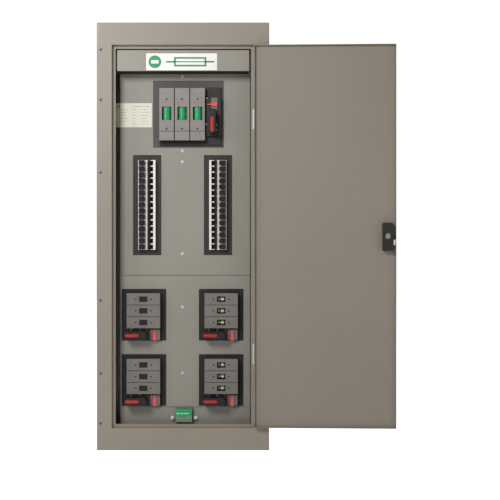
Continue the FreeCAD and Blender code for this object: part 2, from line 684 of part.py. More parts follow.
def branch_cover(x, z):
    """One cover over three poles, hinged at its left edge and open at the back."""
    x0, x1 = branch_poles(x)
    zs = branch_pole_zs(z)
    z0, z1 = zs[2] - BRANCH_POLE_H / 2, zs[0] + BRANCH_POLE_H / 2
    back = BASE_FRONT - COVER_GAP
    middle = (x0 + x1) / 2
    shell = block(x0, x1, COVER_FRONT, back, z0, z1)
    cuts = [block(x0 - 1, x1 - COVER_WALL, COVER_FRONT + COVER_WALL, back + 1,
                  z0 + COVER_WALL, z1 - COVER_WALL)]
    through = (COVER_FRONT - 1, COVER_FRONT + COVER_WALL + 1)
    for pole_z in zs:
        cuts.append(centred(middle, BRANCH_WINDOW_W, through[0], through[1], pole_z, BRANCH_WINDOW_H))
        for side in (-1, 1):
            cuts.append(rod(middle + side * BRANCH_HOLE_X, pole_z, TEST_HOLE_R, through[0], through[1]))
    for pole_z in zs[:2]:
        groove = pole_z - BRANCH_POLE_H / 2
        cuts.append(centred(middle, BRANCH_POLE_W + 2, COVER_FRONT - 1, COVER_FRONT + BRANCH_GROOVE_D,
                            groove, BRANCH_GROOVE_W))
    return take(shell, cuts)


def cartridge_fuses():
    fuses = [upright(x, MAIN_FUSE_Z, MAIN_FUSE_R, MAIN_FUSE_L) for x in POLE_XS]
    for name in ("upper_right", "lower_right"):
        x, z = BRANCHES[name]
        left, right = branch_poles(x)
        middle = (left + right) / 2
        fuses += [level(middle, pole_z, BRANCH_FUSE_R, BRANCH_FUSE_L) for pole_z in branch_pole_zs(z)]
    return fuses


# Branch strips

def group_span(n):
    """Bottom and top of a strip's nth three-pole group, from the top."""
    top = STRIP_Z + MODULES_H / 2 - n * GROUP_H
    return top - GROUP_H + MODULE_GAP / 2, top - MODULE_GAP / 2


def pole_zs(n):
    top = STRIP_Z + MODULES_H / 2 - n * GROUP_H
    return [top - (k + 0.5) * MODULE_PITCH for k in range(MODULE_POLES)]


def module_group(side, n):
    """A three-pole body: a step for the carrier, a wall, a channel for the toggles and a second wall."""
    z0, z1 = group_span(n)
    body = strip_block(side, 0, MODULE_W, NOSE_D, RAIL_FRONT, z0, z1)
    cuts = [strip_block(side, -1, WALL_U[0], NOSE_D - 1, CARRIER_FLOOR_D, z0 - 1, z1 + 1)]
    gap = MODULE_PITCH - CHANNEL_RIB_T
    cuts.append(strip_block(side, CHANNEL_U[0], CHANNEL_U[1], NOSE_D - 1, NOSE_D + CHANNEL_RIB_DEPTH,
                            z0 - 1, z1 + 1))
    stem_u = (CARRIER_U[0] + CARRIER_U[1]) / 2
    reach = STEM_W / 2 + CARRIER_FIT
    for z in pole_zs(n):
        cuts.append(strip_block(side, CHANNEL_U[0], CHANNEL_U[1], NOSE_D - 1, NOSE_D + CHANNEL_DEPTH,
                                z - gap / 2, z + gap / 2))
        cuts.append(strip_block(side, stem_u - reach, stem_u + reach, CARRIER_FLOOR_D - 1,
                                CARRIER_FLOOR_D + STEM_L + STEM_END_GAP, z - reach, z + reach))
    return take(body, cuts)


def fuse_carrier(side, n):
    """A three-pole pull-out: a plate with a knob in front and a fuse stem behind for each pole."""
    z0, z1 = group_span(n)
    back = CARRIER_FLOOR_D - CARRIER_SEAT
    front = back - CARRIER_PLATE_T
    shape = strip_block(side, CARRIER_U[0], CARRIER_U[1], front, back, z0 + CARRIER_FIT, z1 - CARRIER_FIT)
    u = (CARRIER_U[0] + CARRIER_U[1]) / 2
    parts = []
    for z in pole_zs(n):
        parts.append(strip_block(side, u - KNOB_W / 2, u + KNOB_W / 2, front - KNOB_T, front + 1,
                                 z - KNOB_H / 2, z + KNOB_H / 2))
        parts.append(strip_block(side, u - STEM_W / 2, u + STEM_W / 2, back - 1, CARRIER_FLOOR_D + STEM_L,
                                 z - STEM_W / 2, z + STEM_W / 2))
    return join(shape, *parts)


def toggle(side, n):
    """Three levers and the tie bar that joins their tips, leaning outwards."""
    u = (CHANNEL_U[0] + CHANNEL_U[1]) / 2
    x = strip_x(side, u)
    zs = pole_zs(n)
    tip = TOGGLE_PIVOT_D - TOGGLE_LENGTH
    levers = [block(x - TOGGLE_T / 2, x + TOGGLE_T / 2, tip, TOGGLE_PIVOT_D + TOGGLE_TAIL,
                    z - TOGGLE_W / 2, z + TOGGLE_W / 2) for z in zs]
    tie = block(x - TOGGLE_T / 2, x + TOGGLE_T / 2, tip, tip + TOGGLE_TIE,
                zs[-1] - TOGGLE_W / 2, zs[0] + TOGGLE_W / 2)
    shape = join(tie, *levers)
    shape.rotate(V(x, FRONT + TOGGLE_PIVOT_D, 0), V(0, 0, 1), side * TOGGLE_LEAN)
    return shape


def hat_rail(length):
    """A DIN rail of this length, standing upright at the origin with its back on the pan."""
    back = FRONT + PAN_D
    front = back - RAIL_D
    half = RAIL_WEB / 2
    web = Part.makeBox(RAIL_WEB, RAIL_T, length, V(-half, back - RAIL_T, -length / 2))
    parts = []
    for side in (-1, 1):
        x = side * half - (RAIL_T if side > 0 else 0)
        parts.append(Part.makeBox(RAIL_T, RAIL_D, length, V(x, front, -length / 2)))
        lip = (RAIL_W - RAIL_WEB) / 2 + RAIL_T
        x = half - RAIL_T if side > 0 else -half - lip + RAIL_T
        parts.append(Part.makeBox(lip, RAIL_T, length, V(x, front, -length / 2)))
    return join(web, *parts)


def din_rails():
    rails = []
    for side in SIDES.values():
        rail = hat_rail(MODULES_H + 2 * RAIL_END)
        rail.translate(V(INNER_X + side * STRIP_STEP, 0, STRIP_Z))
        rails.append(rail)
    rail = hat_rail(SURGE_W + 2 * SURGE_RAIL_END)
    rail.rotate(V(0, 0, 0), V(0, 1, 0), 90)
    rail.translate(V(SURGE_X, 0, SURGE_TOP_Z - SURGE_H / 2))
    return rails + [rail]


# Inside

def mounting_pan():
    w = BOX_W - 2 * PAN_MARGIN
    h = BOX_H - 2 * PAN_MARGIN
    pan = centred(0, w, PAN_D, BOX_BACK, 0, h)
    pan = pan.cut(centred(0, w - 2 * BOX_SHEET, PAN_D + BOX_SHEET, BOX_BACK + 1, 0, h + 2))
    post = centred(INNER_X, POST_W, SHEET_BACK, PAN_D + 1, COVER_SCREWS[0], POST_W)
    posts = [centred(x, POST_W, SHEET_BACK, PAN_D + 1, z, POST_W) for x, z in thumb_screw_places()]
    pan = join(pan, post, *posts)
    holes = [rod(x, z, SCREW_R + SCREW_FIT, SHEET_BACK - 1, SHEET_BACK + SCREW_LENGTH)
             for x, z in [(INNER_X, COVER_SCREWS[0])] + thumb_screw_places()]
    return take(pan, holes)


def bar_span():
    return LOWER_Z + BAR_RISE, MAIN_BASE[2]


def phase_busbars():
    z0, z1 = bar_span()
    return [block(INNER_X + n * BAR_PITCH - BAR_W / 2, INNER_X + n * BAR_PITCH + BAR_W / 2,
                  BAR_D, BAR_D + BAR_T, z0, z1) for n in (-1, 0, 1)]


def busbar_support(z0, z1, screws):
    """A block on the pan that holds the bars and takes the dead-front's screws."""
    half = BAR_PITCH + BAR_W / 2 + SUPPORT_RIM
    front = BAR_D - SUPPORT_FRONT
    body = block(INNER_X - half, INNER_X + half, front, PAN_D, z0, z1)
    body = join(body, *[centred(INNER_X, POST_W, SHEET_BACK, front + 1, z, POST_W) for z in screws])
    cuts = [centred(INNER_X + n * BAR_PITCH, BAR_W + 2 * BAR_FIT, BAR_D - BAR_FIT, BAR_D + BAR_T + BAR_FIT,
                    (z0 + z1) / 2, z1 - z0 + 2) for n in (-1, 0, 1)]
    cuts += [rod(INNER_X, z, SCREW_R + SCREW_FIT, SHEET_BACK - 1, SHEET_BACK + SCREW_LENGTH) for z in screws]
    return take(body, cuts)


def busbar_supports():
    top_pair = COVER_SCREWS[1:3]
    supports = [busbar_support(top_pair[1] - POST_W / 2, top_pair[0] + POST_W / 2, top_pair)]
    for z in COVER_SCREWS[3:]:
        supports.append(busbar_support(z - SUPPORT_H / 2, z + SUPPORT_H / 2, [z]))
    return supports


def terminal_bar(x, z, back):
    """A terminal bar with a row of wire holes and their screws' holes."""
    front = back - TERMINAL_BAR_T
    bar = centred(x, TERMINAL_BAR_W, front, back, z, TERMINAL_BAR_L)
    count = int(TERMINAL_BAR_L / TERMINAL_PITCH)
    first = z - (count - 1) * TERMINAL_PITCH / 2
    holes = [rod(x, first + n * TERMINAL_PITCH, TERMINAL_SCREW_R, front - 1, back + 1) for n in range(count)]
    return take(bar, holes)


def feet(x, z):
    """The two insulating feet that a terminal bar stands on."""
    step = TERMINAL_BAR_L * INSULATOR_PLACE
    width = TERMINAL_BAR_W + 2 * INSULATOR_RIM
    return [centred(x, width, PAN_D - INSULATOR_D, PAN_D, z + side * step, INSULATOR_H) for side in (-1, 1)]


# Surge protector

def surge_pole_xs():
    step = SURGE_W / SURGE_POLES
    return [SURGE_X + (n - 1) * step for n in range(SURGE_POLES)]


def cartridge_spans():
    """Left, right, bottom and top of each plug-in cartridge."""
    half = SURGE_W / SURGE_POLES / 2 - CARTRIDGE_WALL
    top = SURGE_TOP_Z - CARTRIDGE_UP
    return [(x - half, x + half, top - CARTRIDGE_H, top) for x in surge_pole_xs()]


def surge_base():
    bottom = SURGE_TOP_Z - SURGE_H
    body = centred(SURGE_X, SURGE_W, SURGE_STEP_D, RAIL_FRONT, (SURGE_TOP_Z + bottom) / 2, SURGE_H)
    cuts = []
    for x0, x1, z0, z1 in cartridge_spans():
        fit = CARTRIDGE_FIT
        cuts.append(block(x0 - fit, x1 + fit, SURGE_STEP_D - 1, SURGE_STEP_D + CARTRIDGE_L + 1,
                          z0 - fit, z1 + fit))
    return take(body, cuts)


def surge_cartridges():
    back = SURGE_STEP_D + CARTRIDGE_L
    return [block(x0, x1, SURGE_NOSE_D, back, z0, z1) for x0, x1, z0, z1 in cartridge_spans()]


# Hinges: the frame's knuckle is below and the door's above, on one pin

def barrel(z0, z1, bore):
    outer = Part.makeCylinder(HINGE_R, z1 - z0, V(HINGE_X, FRONT - HINGE_PROUD, z0))
    return outer.cut(Part.makeCylinder(bore, z1 - z0 + 2, V(HINGE_X, FRONT - HINGE_PROUD, z0 - 1)))


def hinge_leaf(z, side, k0, k1, bore):
    """A leaf on one side of the axis, with its knuckle between two heights."""
    near = side * HINGE_LEAF_GAP / 2
    xs = sorted((HINGE_X + near, HINGE_X + near + side * HINGE_LEAF))
    plate = block(xs[0], xs[1], 0.3, HINGE_LEAF_D, z - HINGE_L / 2, z + HINGE_L / 2)
    neck = block(xs[0], xs[1], HINGE_PIN_R + 0.6 - HINGE_PROUD, 0.4, k0, k1)
    return join(plate, neck, barrel(k0, k1, bore))


def frame_leaf(z):
    return hinge_leaf(z, 1, z - HINGE_L / 2, z - HINGE_SPLIT / 2, HINGE_PIN_R + HINGE_PIN_SNUG)


def door_leaf(z):
    return hinge_leaf(z, -1, z + HINGE_SPLIT / 2, z + HINGE_L / 2, HINGE_PIN_R + HINGE_PIN_FIT)


def hinge_pin(z):
    return Part.makeCylinder(HINGE_PIN_R, HINGE_L, V(HINGE_X, FRONT - HINGE_PROUD, z - HINGE_L / 2))


# Door, drawn closed and then swung open

def swung(shape):
    """A door part as it stands with the door open."""
    shape.rotate(V(HINGE_X, FRONT - HINGE_PROUD, 0), V(0, 0, 1), DOOR_ANGLE)
    return shape


def door_panel():
    pan = block(DOOR_LEFT, DOOR_RIGHT, 0, DOOR_FLANGE, -DOOR_TOP, DOOR_TOP)
    pan = round_front(pan, BEND_R)
    t = DOOR_SHEET
    hollow = block(DOOR_LEFT + t, DOOR_RIGHT - t, t, DOOR_FLANGE + 1, t - DOOR_TOP, DOOR_TOP - t)
    return take(pan, [hollow, latch_neck(0)])


def latch_neck(grow):
    """The latch's neck where it passes through the door."""
    x = DOOR_LEFT + LATCH_EDGE + LATCH_W / 2
    w = LATCH_W - 2 * LATCH_NECK_RIM - 2 * grow
    h = LATCH_H - 2 * LATCH_NECK_RIM - 2 * grow
    return centred(x, w, -1, DOOR_SHEET + 1, LATCH_Z, h)


def bolt_depths():
    near = LEDGE_BACK + LEDGE_CLEAR
    return near, near + BOLT_T


def bolt_xs():
    return -OPENING_W / 2 - BOLT_REACH, DOOR_LEFT + LATCH_EDGE + BOLT_TAIL


def latch_housing():
    x = DOOR_LEFT + LATCH_EDGE + LATCH_W / 2
    body = centred(x, LATCH_W, DOOR_SHEET, DOOR_SHEET + LATCH_D, LATCH_Z, LATCH_H)
    body = body.makeFillet(LATCH_CORNER_R, [e for e in body.Edges if e.BoundBox.YLength > LATCH_D / 2])
    rim = 2 * ESCUTCHEON_RIM
    plate = centred(x, LATCH_W + rim, -ESCUTCHEON_T, 0, LATCH_Z, LATCH_H + rim)
    neck = latch_neck(LATCH_NECK_FIT).common(centred(x, LATCH_W, 0, DOOR_SHEET, LATCH_Z, LATCH_H))
    body = join(body, neck, plate)
    d0, d1 = bolt_depths()
    x0, x1 = bolt_xs()
    fit = BOLT_FIT
    low, high = BOLT_Z - BOLT_H / 2 - fit, BOLT_Z + BOLT_H / 2 + fit
    slot = block(x0 - 1, x1 + BOLT_TRAVEL + fit, d0 - fit, d1 + fit, low, high)
    stem_slot = block(x1 - BOLT_STEM - fit, x1 + BOLT_TRAVEL + fit, -ESCUTCHEON_T - 1, d0, low, high)
    lock_x, lock_z = lock_place()
    bore = rod(lock_x, lock_z, LOCK_R + LOCK_FIT, -ESCUTCHEON_T - 1, DOOR_SHEET + LATCH_D + 1)
    return take(body, [slot, stem_slot, bore])


def lock_place():
    return DOOR_LEFT + LOCK_EDGE, BOLT_Z + BOLT_H / 2 + BOLT_FIT + LOCK_R + LOCK_WALL


def latch_bolt():
    """A spring bolt with a bevelled nose, and a stem through the latch to a finger pad outside."""
    d0, d1 = bolt_depths()
    x0, x1 = bolt_xs()
    z0, z1 = BOLT_Z - BOLT_H / 2, BOLT_Z + BOLT_H / 2
    points = [(x0, d0), (x1, d0), (x1, d1), (x0 + BOLT_T * 0.8, d1), (x0, d0 + 1)]
    outline = [V(x, FRONT + d, z0) for x, d in points]
    face = Part.Face(Part.makePolygon(outline + outline[:1]))
    bolt = face.extrude(V(0, 0, z1 - z0))
    front = -ESCUTCHEON_T - PAD_GAP
    stem = block(x1 - BOLT_STEM, x1, front - 1, d0 + 1, z0, z1)
    pad = block(x1 - BOLT_STEM - PAD_RIM, x1 + PAD_RIM, front - PAD_T, front, z0 - PAD_RIM, z1)
    return join(bolt, stem, pad)


def lock_cylinder():
    x, z = lock_place()
    back = DOOR_SHEET + LATCH_D
    body = rod(x, z, LOCK_R, -ESCUTCHEON_T - LOCK_PROUD, back + 1)
    cam = block(x - CAM_W, x + CAM_W, back + CAM_GAP, back + CAM_GAP + CAM_T, z - CAM_W, z + CAM_L)
    return join(body, cam)


os.makedirs("parts", exist_ok=True)

save("enclosure_box", enclosure_box())
save("trim_frame", trim_frame())
save("fasteners", *fasteners())
save("header_plate", header_plate())
save("deadfront_upper", deadfront_upper())
save("deadfront_lower", deadfront_lower())
save("deadfront_base", deadfront_base())
save("barrier_plates", *barrier_plates())
save("mounting_pan", mounting_pan())
save("phase_busbars", *phase_busbars())
save("din_rails", *din_rails())

bar_x = TRIM_W / 2 - TERMINAL_BAR_IN
save("neutral_bar", terminal_bar(bar_x, NEUTRAL_Z, PAN_D - INSULATOR_D))
save("bar_insulators", *busbar_supports(), *feet(bar_x, NEUTRAL_Z))
save("ground_bar", terminal_bar(bar_x, GROUND_Z, PAN_D))

save("main_switch_base", main_switch_base())
for name, x in zip(("left", "middle", "right"), POLE_XS):
    save("main_cover_" + name, main_cover(x))
save("main_handle", handle(MAIN_HUB, MAIN_HANDLE_TURN))
save("branch_switch_bases", *[branch_base(x, z) for x, z in BRANCHES.values()])
for name, (x, z) in BRANCHES.items():
    save("branch_cover_" + name, branch_cover(x, z))
    save("branch_handle_" + name, handle(branch_hub(x, z), BRANCH_HANDLE_TURN))
save("cartridge_fuses", *cartridge_fuses())

for name, side in SIDES.items():
    save(name + "_strip_bodies", *[module_group(side, n) for n in range(STRIP_GROUPS)])
    for n in range(STRIP_GROUPS):
        save("%s_toggle_%d" % (name, n + 1), toggle(side, n))
        save("%s_carrier_%d" % (name, n + 1), fuse_carrier(side, n))

save("surge_base", surge_base())
save("surge_cartridges", *surge_cartridges())

save("hinge_frame_leaves", *[frame_leaf(z) for z in HINGE_ZS])
save("hinge_pins", *[hinge_pin(z) for z in HINGE_ZS])
save("hinge_door_leaves", *[swung(door_leaf(z)) for z in HINGE_ZS])
save("door_panel", swung(door_panel()))
save("latch_housing", swung(latch_housing()))
save("latch_bolt", swung(latch_bolt()))
save("lock_cylinder", swung(lock_cylinder()))
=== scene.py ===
"""Fusible branch panelboard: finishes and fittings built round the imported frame.

The file is laid out as an add-on and is run as a script. Outlines, depths and spans are in
millimetres and are turned into metres where vertices are made. Depths run back from the trim's
front face.
"""
import math

import bmesh
import bpy
from bpy.props import FloatProperty, FloatVectorProperty, PointerProperty
from mathutils import Matrix, Vector


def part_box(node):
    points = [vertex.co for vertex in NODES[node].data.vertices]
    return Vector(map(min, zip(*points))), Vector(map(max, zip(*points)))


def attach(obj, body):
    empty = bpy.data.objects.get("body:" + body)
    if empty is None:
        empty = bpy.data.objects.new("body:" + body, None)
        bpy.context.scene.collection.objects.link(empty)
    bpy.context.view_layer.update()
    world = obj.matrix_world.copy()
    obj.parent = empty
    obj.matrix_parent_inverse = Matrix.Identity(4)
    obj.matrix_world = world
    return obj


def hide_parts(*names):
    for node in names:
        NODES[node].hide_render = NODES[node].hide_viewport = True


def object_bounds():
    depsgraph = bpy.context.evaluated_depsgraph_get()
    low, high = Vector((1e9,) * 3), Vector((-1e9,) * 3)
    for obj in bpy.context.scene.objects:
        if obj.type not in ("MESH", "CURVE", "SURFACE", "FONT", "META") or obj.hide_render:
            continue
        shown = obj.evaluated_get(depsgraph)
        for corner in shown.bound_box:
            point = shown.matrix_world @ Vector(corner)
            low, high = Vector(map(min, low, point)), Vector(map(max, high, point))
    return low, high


bl_info = {
    "name": "Panelboard Finishes",
    "version": (1, 0, 0),
    "blender": (4, 5, 0),
    "location": "3D View > Sidebar > Panelboard",
    "description": "Finishes and small fittings of a fusible branch panelboard",
    "category": "Object",
}

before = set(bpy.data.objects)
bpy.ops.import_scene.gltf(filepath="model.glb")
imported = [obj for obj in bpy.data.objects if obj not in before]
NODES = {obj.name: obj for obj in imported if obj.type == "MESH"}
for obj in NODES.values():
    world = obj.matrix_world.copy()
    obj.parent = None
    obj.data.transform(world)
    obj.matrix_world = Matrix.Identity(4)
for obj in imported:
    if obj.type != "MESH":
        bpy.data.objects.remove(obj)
CAD_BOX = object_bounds()
MM = 0.001
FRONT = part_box("trim_frame")[0].y / MM
BRANCHES = ("upper_left", "upper_right", "lower_left", "lower_right")
SIDES = ("left", "right")
GROUPS = (1, 2, 3, 4, 5)
POLES = ("left", "middle", "right")


def span(node):
    """Lowest and highest corner of a CAD node, in millimetres."""
    low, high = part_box(node)
    return low / MM, high / MM


def linear(red, green, blue):
    """A display colour out of 255 as linear values."""
    values = [c / 255 for c in (red, green, blue)]
    return tuple(c / 12.92 if c <= 0.04045 else ((c + 0.055) / 1.055) ** 2.4 for c in values)


# Settings

def colour(label, words, value):
    return FloatVectorProperty(name=label, description=words, subtype="COLOR", size=3, min=0.0, max=1.0,
                               default=linear(*value))


def length(label, words, value, top=0.05):
    return FloatProperty(name=label, description=words, unit="LENGTH", subtype="DISTANCE", min=0.0, max=top,
                         precision=4, default=value * MM)


class PanelboardColours(bpy.types.PropertyGroup):
    """Base colours of the finishes."""

    trim: colour("Trim paint", "Paint on the trim frame, box and door", (148, 140, 128))
    deadfront: colour("Dead-front paint", "Paint on the sheets inside the trim", (146, 143, 134))
    black: colour("Black moulding", "Switch bases, handles and latch", (30, 29, 28))
    cover: colour("Cover moulding", "Covers over the switches' poles", (138, 133, 128))
    light: colour("Light moulding", "Bodies of the fuse strips", (232, 230, 224))
    green: colour("Green moulding", "Surge protector and fuse barrels", (28, 160, 96))
    red: colour("Red insert", "Inserts in the handles", (182, 36, 30))
    tag: colour("Tag red", "Padlock tags beside the handles", (226, 84, 84))
    card: colour("Card", "Directory card", (226, 224, 208))
    steel: colour("Zinc", "Screws, rails and hinges", (182, 180, 174))


class PanelboardSizes(bpy.types.PropertyGroup):
    """Small sizes that the frame doesn't hold."""

    plate_thick: length("Name plate", "Thickness of the name plate", 0.8)
    print_thick: length("Print", "Thickness of printed areas", 0.12)
    card_thick: length("Card", "Thickness of the directory card", 0.35)
    cover_edge: length("Cover edge", "Rounding on the covers", 0.9)
    lever_edge: length("Lever edge", "Rounding on the handles' levers", 3.2)
    insert_thick: length("Insert", "Height of a handle's red insert above its lever", 0.7)


# Meshes. Outlines are lists of (x, z) in millimetres; a plate's front is at depth d0 and its back at d1.

def point(x, d, z):
    return Vector((x, FRONT + d, z)) * MM


def rounded(x0, x1, z0, z1, radius=0.0, steps=5):
    """A rectangle's outline with round corners."""
    if radius <= 0:
        return [(x0, z0), (x1, z0), (x1, z1), (x0, z1)]
    corners = ((x1 - radius, z0 + radius, -90), (x1 - radius, z1 - radius, 0),
               (x0 + radius, z1 - radius, 90), (x0 + radius, z0 + radius, 180))
    return [(cx + radius * math.cos(math.radians(start + 90 * n / steps)),
             cz + radius * math.sin(math.radians(start + 90 * n / steps)))
            for cx, cz, start in corners for n in range(steps + 1)]


def about(x, z, half_x, half_z, radius=0.0):
    """A rectangle's outline, given its middle and half its width and height."""
    return rounded(x - half_x, x + half_x, z - half_z, z + half_z, radius)


def circle(cx, cz, radius, steps=32):
    return [(cx + radius * math.cos(2 * math.pi * n / steps), cz + radius * math.sin(2 * math.pi * n / steps))
            for n in range(steps)]


def turned(outline, cx, cz, degrees):
    """An outline turned about a point, counter-clockwise as seen from the front."""
    c, s = math.cos(math.radians(degrees)), math.sin(math.radians(degrees))
    return [(cx + (x - cx) * c - (z - cz) * s, cz + (x - cx) * s + (z - cz) * c) for x, z in outline]


def add_plate(bm, outline, d0, d1, holes=(), material=0, taper=0.0):
    """A flat plate with holes right through it.

    Taper draws the front's outer edge in by that share of its size.
    """
    middle_x = sum(x for x, z in outline) / len(outline)
    middle_z = sum(z for x, z in outline) / len(outline)
    drawn = [(x + (middle_x - x) * taper, z + (middle_z - z) * taper) for x, z in outline]
    fronts, backs = [], []
    for front_loop, back_loop in [(drawn, outline)] + [(h, h) for h in holes]:
        fronts.append([bm.verts.new(point(x, d0, z)) for x, z in front_loop])
        backs.append([bm.verts.new(point(x, d1, z)) for x, z in back_loop])
    made = []
    for loops in (fronts, backs):
        if holes:
            edges = [bm.edges.new((loop[n], loop[(n + 1) % len(loop)])) for loop in loops
                     for n in range(len(loop))]
            result = bmesh.ops.triangle_fill(bm, edges=edges, use_beauty=True, use_dissolve=False)
            made += [g for g in result["geom"] if isinstance(g, bmesh.types.BMFace)]
        else:
            made.append(bm.faces.new(loops[0]))
    for front, back in zip(fronts, backs):
        for n in range(len(front)):
            m = (n + 1) % len(front)
            made.append(bm.faces.new((front[n], front[m], back[m], back[n])))
    for face in made:
        face.material_index = material


def add_turning(bm, origin, axis, profile, steps=24, material=0):
    """A solid of revolution. The profile is a list of (distance along the axis, radius), in millimetres."""
    axis = Vector(axis).normalized()
    side = axis.orthogonal().normalized()
    other = axis.cross(side)
    rings = []
    for along, radius in profile:
        centre = Vector(origin) + axis * along
        if radius <= 0:
            rings.append([bm.verts.new(centre * MM)])
            continue
        rings.append([bm.verts.new((centre + (side * math.cos(a) + other * math.sin(a)) * radius) * MM)
                      for a in (2 * math.pi * n / steps for n in range(steps))])
    faces = []
    for a, b in zip(rings, rings[1:]):
        for n in range(steps):
            m = (n + 1) % steps
            corners = [a[n % len(a)], a[m % len(a)], b[m % len(b)], b[n % len(b)]]
            distinct = list(dict.fromkeys(corners))
            if len(distinct) > 2:
                faces.append(bm.faces.new(distinct))
    for ring in (rings[0], rings[-1]):
        if len(ring) > 2:
            faces.append(bm.faces.new(ring))
    for face in faces:
        face.material_index = material


def at(x, d, z):
    """A point in millimetres in the row frame."""
    return (x, FRONT + d, z)


def bevelled(obj, width, segments=2, angle=35.0, weld=False):
    """Rounds the piece's sharp edges and evens its shading."""
    if weld:
        joined = obj.modifiers.new("Weld", "WELD")
        joined.merge_threshold = 0.00001
        flat = obj.modifiers.new("Flat faces", "DECIMATE")
        flat.decimate_type = "DISSOLVE"
        flat.angle_limit = math.radians(1)
    edge = obj.modifiers.new("Edges", "BEVEL")
    edge.width = width
    edge.segments = segments
    edge.limit_method = "ANGLE"
    edge.angle_limit = math.radians(angle)
    edge.use_clamp_overlap = True
    edge.harden_normals = weld
    if not weld:
        even = obj.modifiers.new("Shading", "WEIGHTED_NORMAL")
        even.keep_sharp = True


def piece(name, bm, materials, body, edge=0.0, segments=2, replaces=()):
    """Makes the mesh an object that rides on a CAD body."""
    bmesh.ops.recalc_face_normals(bm, faces=bm.faces)
    mesh = bpy.data.meshes.new(name)
    bm.to_mesh(mesh)
    bm.free()
    for face in mesh.polygons:
        face.use_smooth = True
    mesh.set_sharp_from_angle(angle=math.radians(40))
    obj = bpy.data.objects.new(name, mesh)
    bpy.context.scene.collection.objects.link(obj)
    for material in materials:
        mesh.materials.append(material)
    if edge > 0:
        bevelled(obj, edge, segments)
    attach(obj, body)
    if replaces:
        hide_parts(*replaces)


# Shared effects, as node groups that give colours, masks and values

def group(name, inputs, outputs):
    """An empty shader group with these inputs (name, kind, default) and outputs (name, kind)."""
    tree = bpy.data.node_groups.new(name, "ShaderNodeTree")
    for label, kind, value in inputs:
        socket = tree.interface.new_socket(name=label, in_out="INPUT", socket_type="NodeSocket" + kind)
        socket.default_value = value
    for label, kind in outputs:
        tree.interface.new_socket(name=label, in_out="OUTPUT", socket_type="NodeSocket" + kind)
    return tree, tree.nodes.new("NodeGroupInput"), tree.nodes.new("NodeGroupOutput")


def math_node(tree, operation, first, second=None, clamp=False):
    """A Math node whose inputs are sockets or numbers."""
    node = tree.nodes.new("ShaderNodeMath")
    node.operation = operation
    node.use_clamp = clamp
    for n, value in enumerate((first, second)):
        if value is None:
            continue
        if isinstance(value, (int, float)):
            node.inputs[n].default_value = value
        else:
            tree.links.new(value, node.inputs[n])
    return node.outputs[0]


def noise(tree, scale, detail, place=None):
    node = tree.nodes.new("ShaderNodeTexNoise")
    node.inputs["Detail"].default_value = detail
    if isinstance(scale, (int, float)):
        node.inputs["Scale"].default_value = scale
    else:
        tree.links.new(scale, node.inputs["Scale"])
    if place is None:
        place = tree.nodes.new("ShaderNodeTexCoord").outputs["Object"]
    tree.links.new(place, node.inputs["Vector"])
    return node.outputs["Fac"]


def ramp(tree, value, low, high, to_low=0.0, to_high=1.0):
    node = tree.nodes.new("ShaderNodeMapRange")
    tree.links.new(value, node.inputs["Value"])
    for label, number in (("From Min", low), ("From Max", high), ("To Min", to_low), ("To Max", to_high)):
        if isinstance(number, (int, float)):
            node.inputs[label].default_value = number
        else:
            tree.links.new(number, node.inputs[label])
    return node.outputs["Result"]


def build_uneven_tone():
    """Broad, faint patches and fine flecks over a colour, and a value that follows them."""
    tree, given, out = group("Uneven Tone",
                             [("Tone", "Color", (0.5, 0.5, 0.5, 1)), ("Change", "Float", 0.05),
                              ("Patch Scale", "Float", 4.0), ("Fleck Scale", "Float", 700.0)],
                             [("Tone", "Color"), ("Value", "Float")])
    patches = ramp(tree, noise(tree, given.outputs["Patch Scale"], 3.0), 0.3, 0.7, -1.0, 1.0)
    flecks = ramp(tree, noise(tree, given.outputs["Fleck Scale"], 1.0), 0.3, 0.7, -0.6, 0.6)
    both = math_node(tree, "ADD", patches, flecks)
    share = math_node(tree, "ADD", math_node(tree, "MULTIPLY", both, given.outputs["Change"]), 1.0)
    scaled = tree.nodes.new("ShaderNodeVectorMath")
    scaled.operation = "SCALE"
    tree.links.new(given.outputs["Tone"], scaled.inputs[0])
    tree.links.new(share, scaled.inputs["Scale"])
    tree.links.new(scaled.outputs[0], out.inputs["Tone"])
    tree.links.new(ramp(tree, both, -1.6, 1.6), out.inputs["Value"])
    return tree


def build_grain():
    """The fine texture of sprayed paint or moulded plastic, as a height."""
    tree, given, out = group("Surface Grain", [("Scale", "Float", 800.0), ("Pits", "Float", 0.3)],
                             [("Height", "Float")])
    soft = noise(tree, given.outputs["Scale"], 2.0)
    cells = tree.nodes.new("ShaderNodeTexVoronoi")
    tree.links.new(given.outputs["Scale"], cells.inputs["Scale"])
    tree.links.new(tree.nodes.new("ShaderNodeTexCoord").outputs["Object"], cells.inputs["Vector"])
    pits = math_node(tree, "MULTIPLY", cells.outputs["Distance"], given.outputs["Pits"])
    tree.links.new(math_node(tree, "SUBTRACT", soft, pits), out.inputs["Height"])
    return tree


def build_brushing():
    """Fine lines along one direction, as a height."""
    tree, given, out = group("Brushed Lines", [("Scale", "Float", 900.0), ("Stretch", "Float", 0.04)],
                             [("Height", "Float")])
    stretch = tree.nodes.new("ShaderNodeCombineXYZ")
    stretch.inputs["X"].default_value = 1.0
    stretch.inputs["Y"].default_value = 1.0
    tree.links.new(given.outputs["Stretch"], stretch.inputs["Z"])
    place = tree.nodes.new("ShaderNodeVectorMath")
    place.operation = "MULTIPLY"
    tree.links.new(tree.nodes.new("ShaderNodeTexCoord").outputs["Object"], place.inputs[0])
    tree.links.new(stretch.outputs[0], place.inputs[1])
    tree.links.new(noise(tree, given.outputs["Scale"], 3.0, place.outputs[0]), out.inputs["Height"])
    return tree


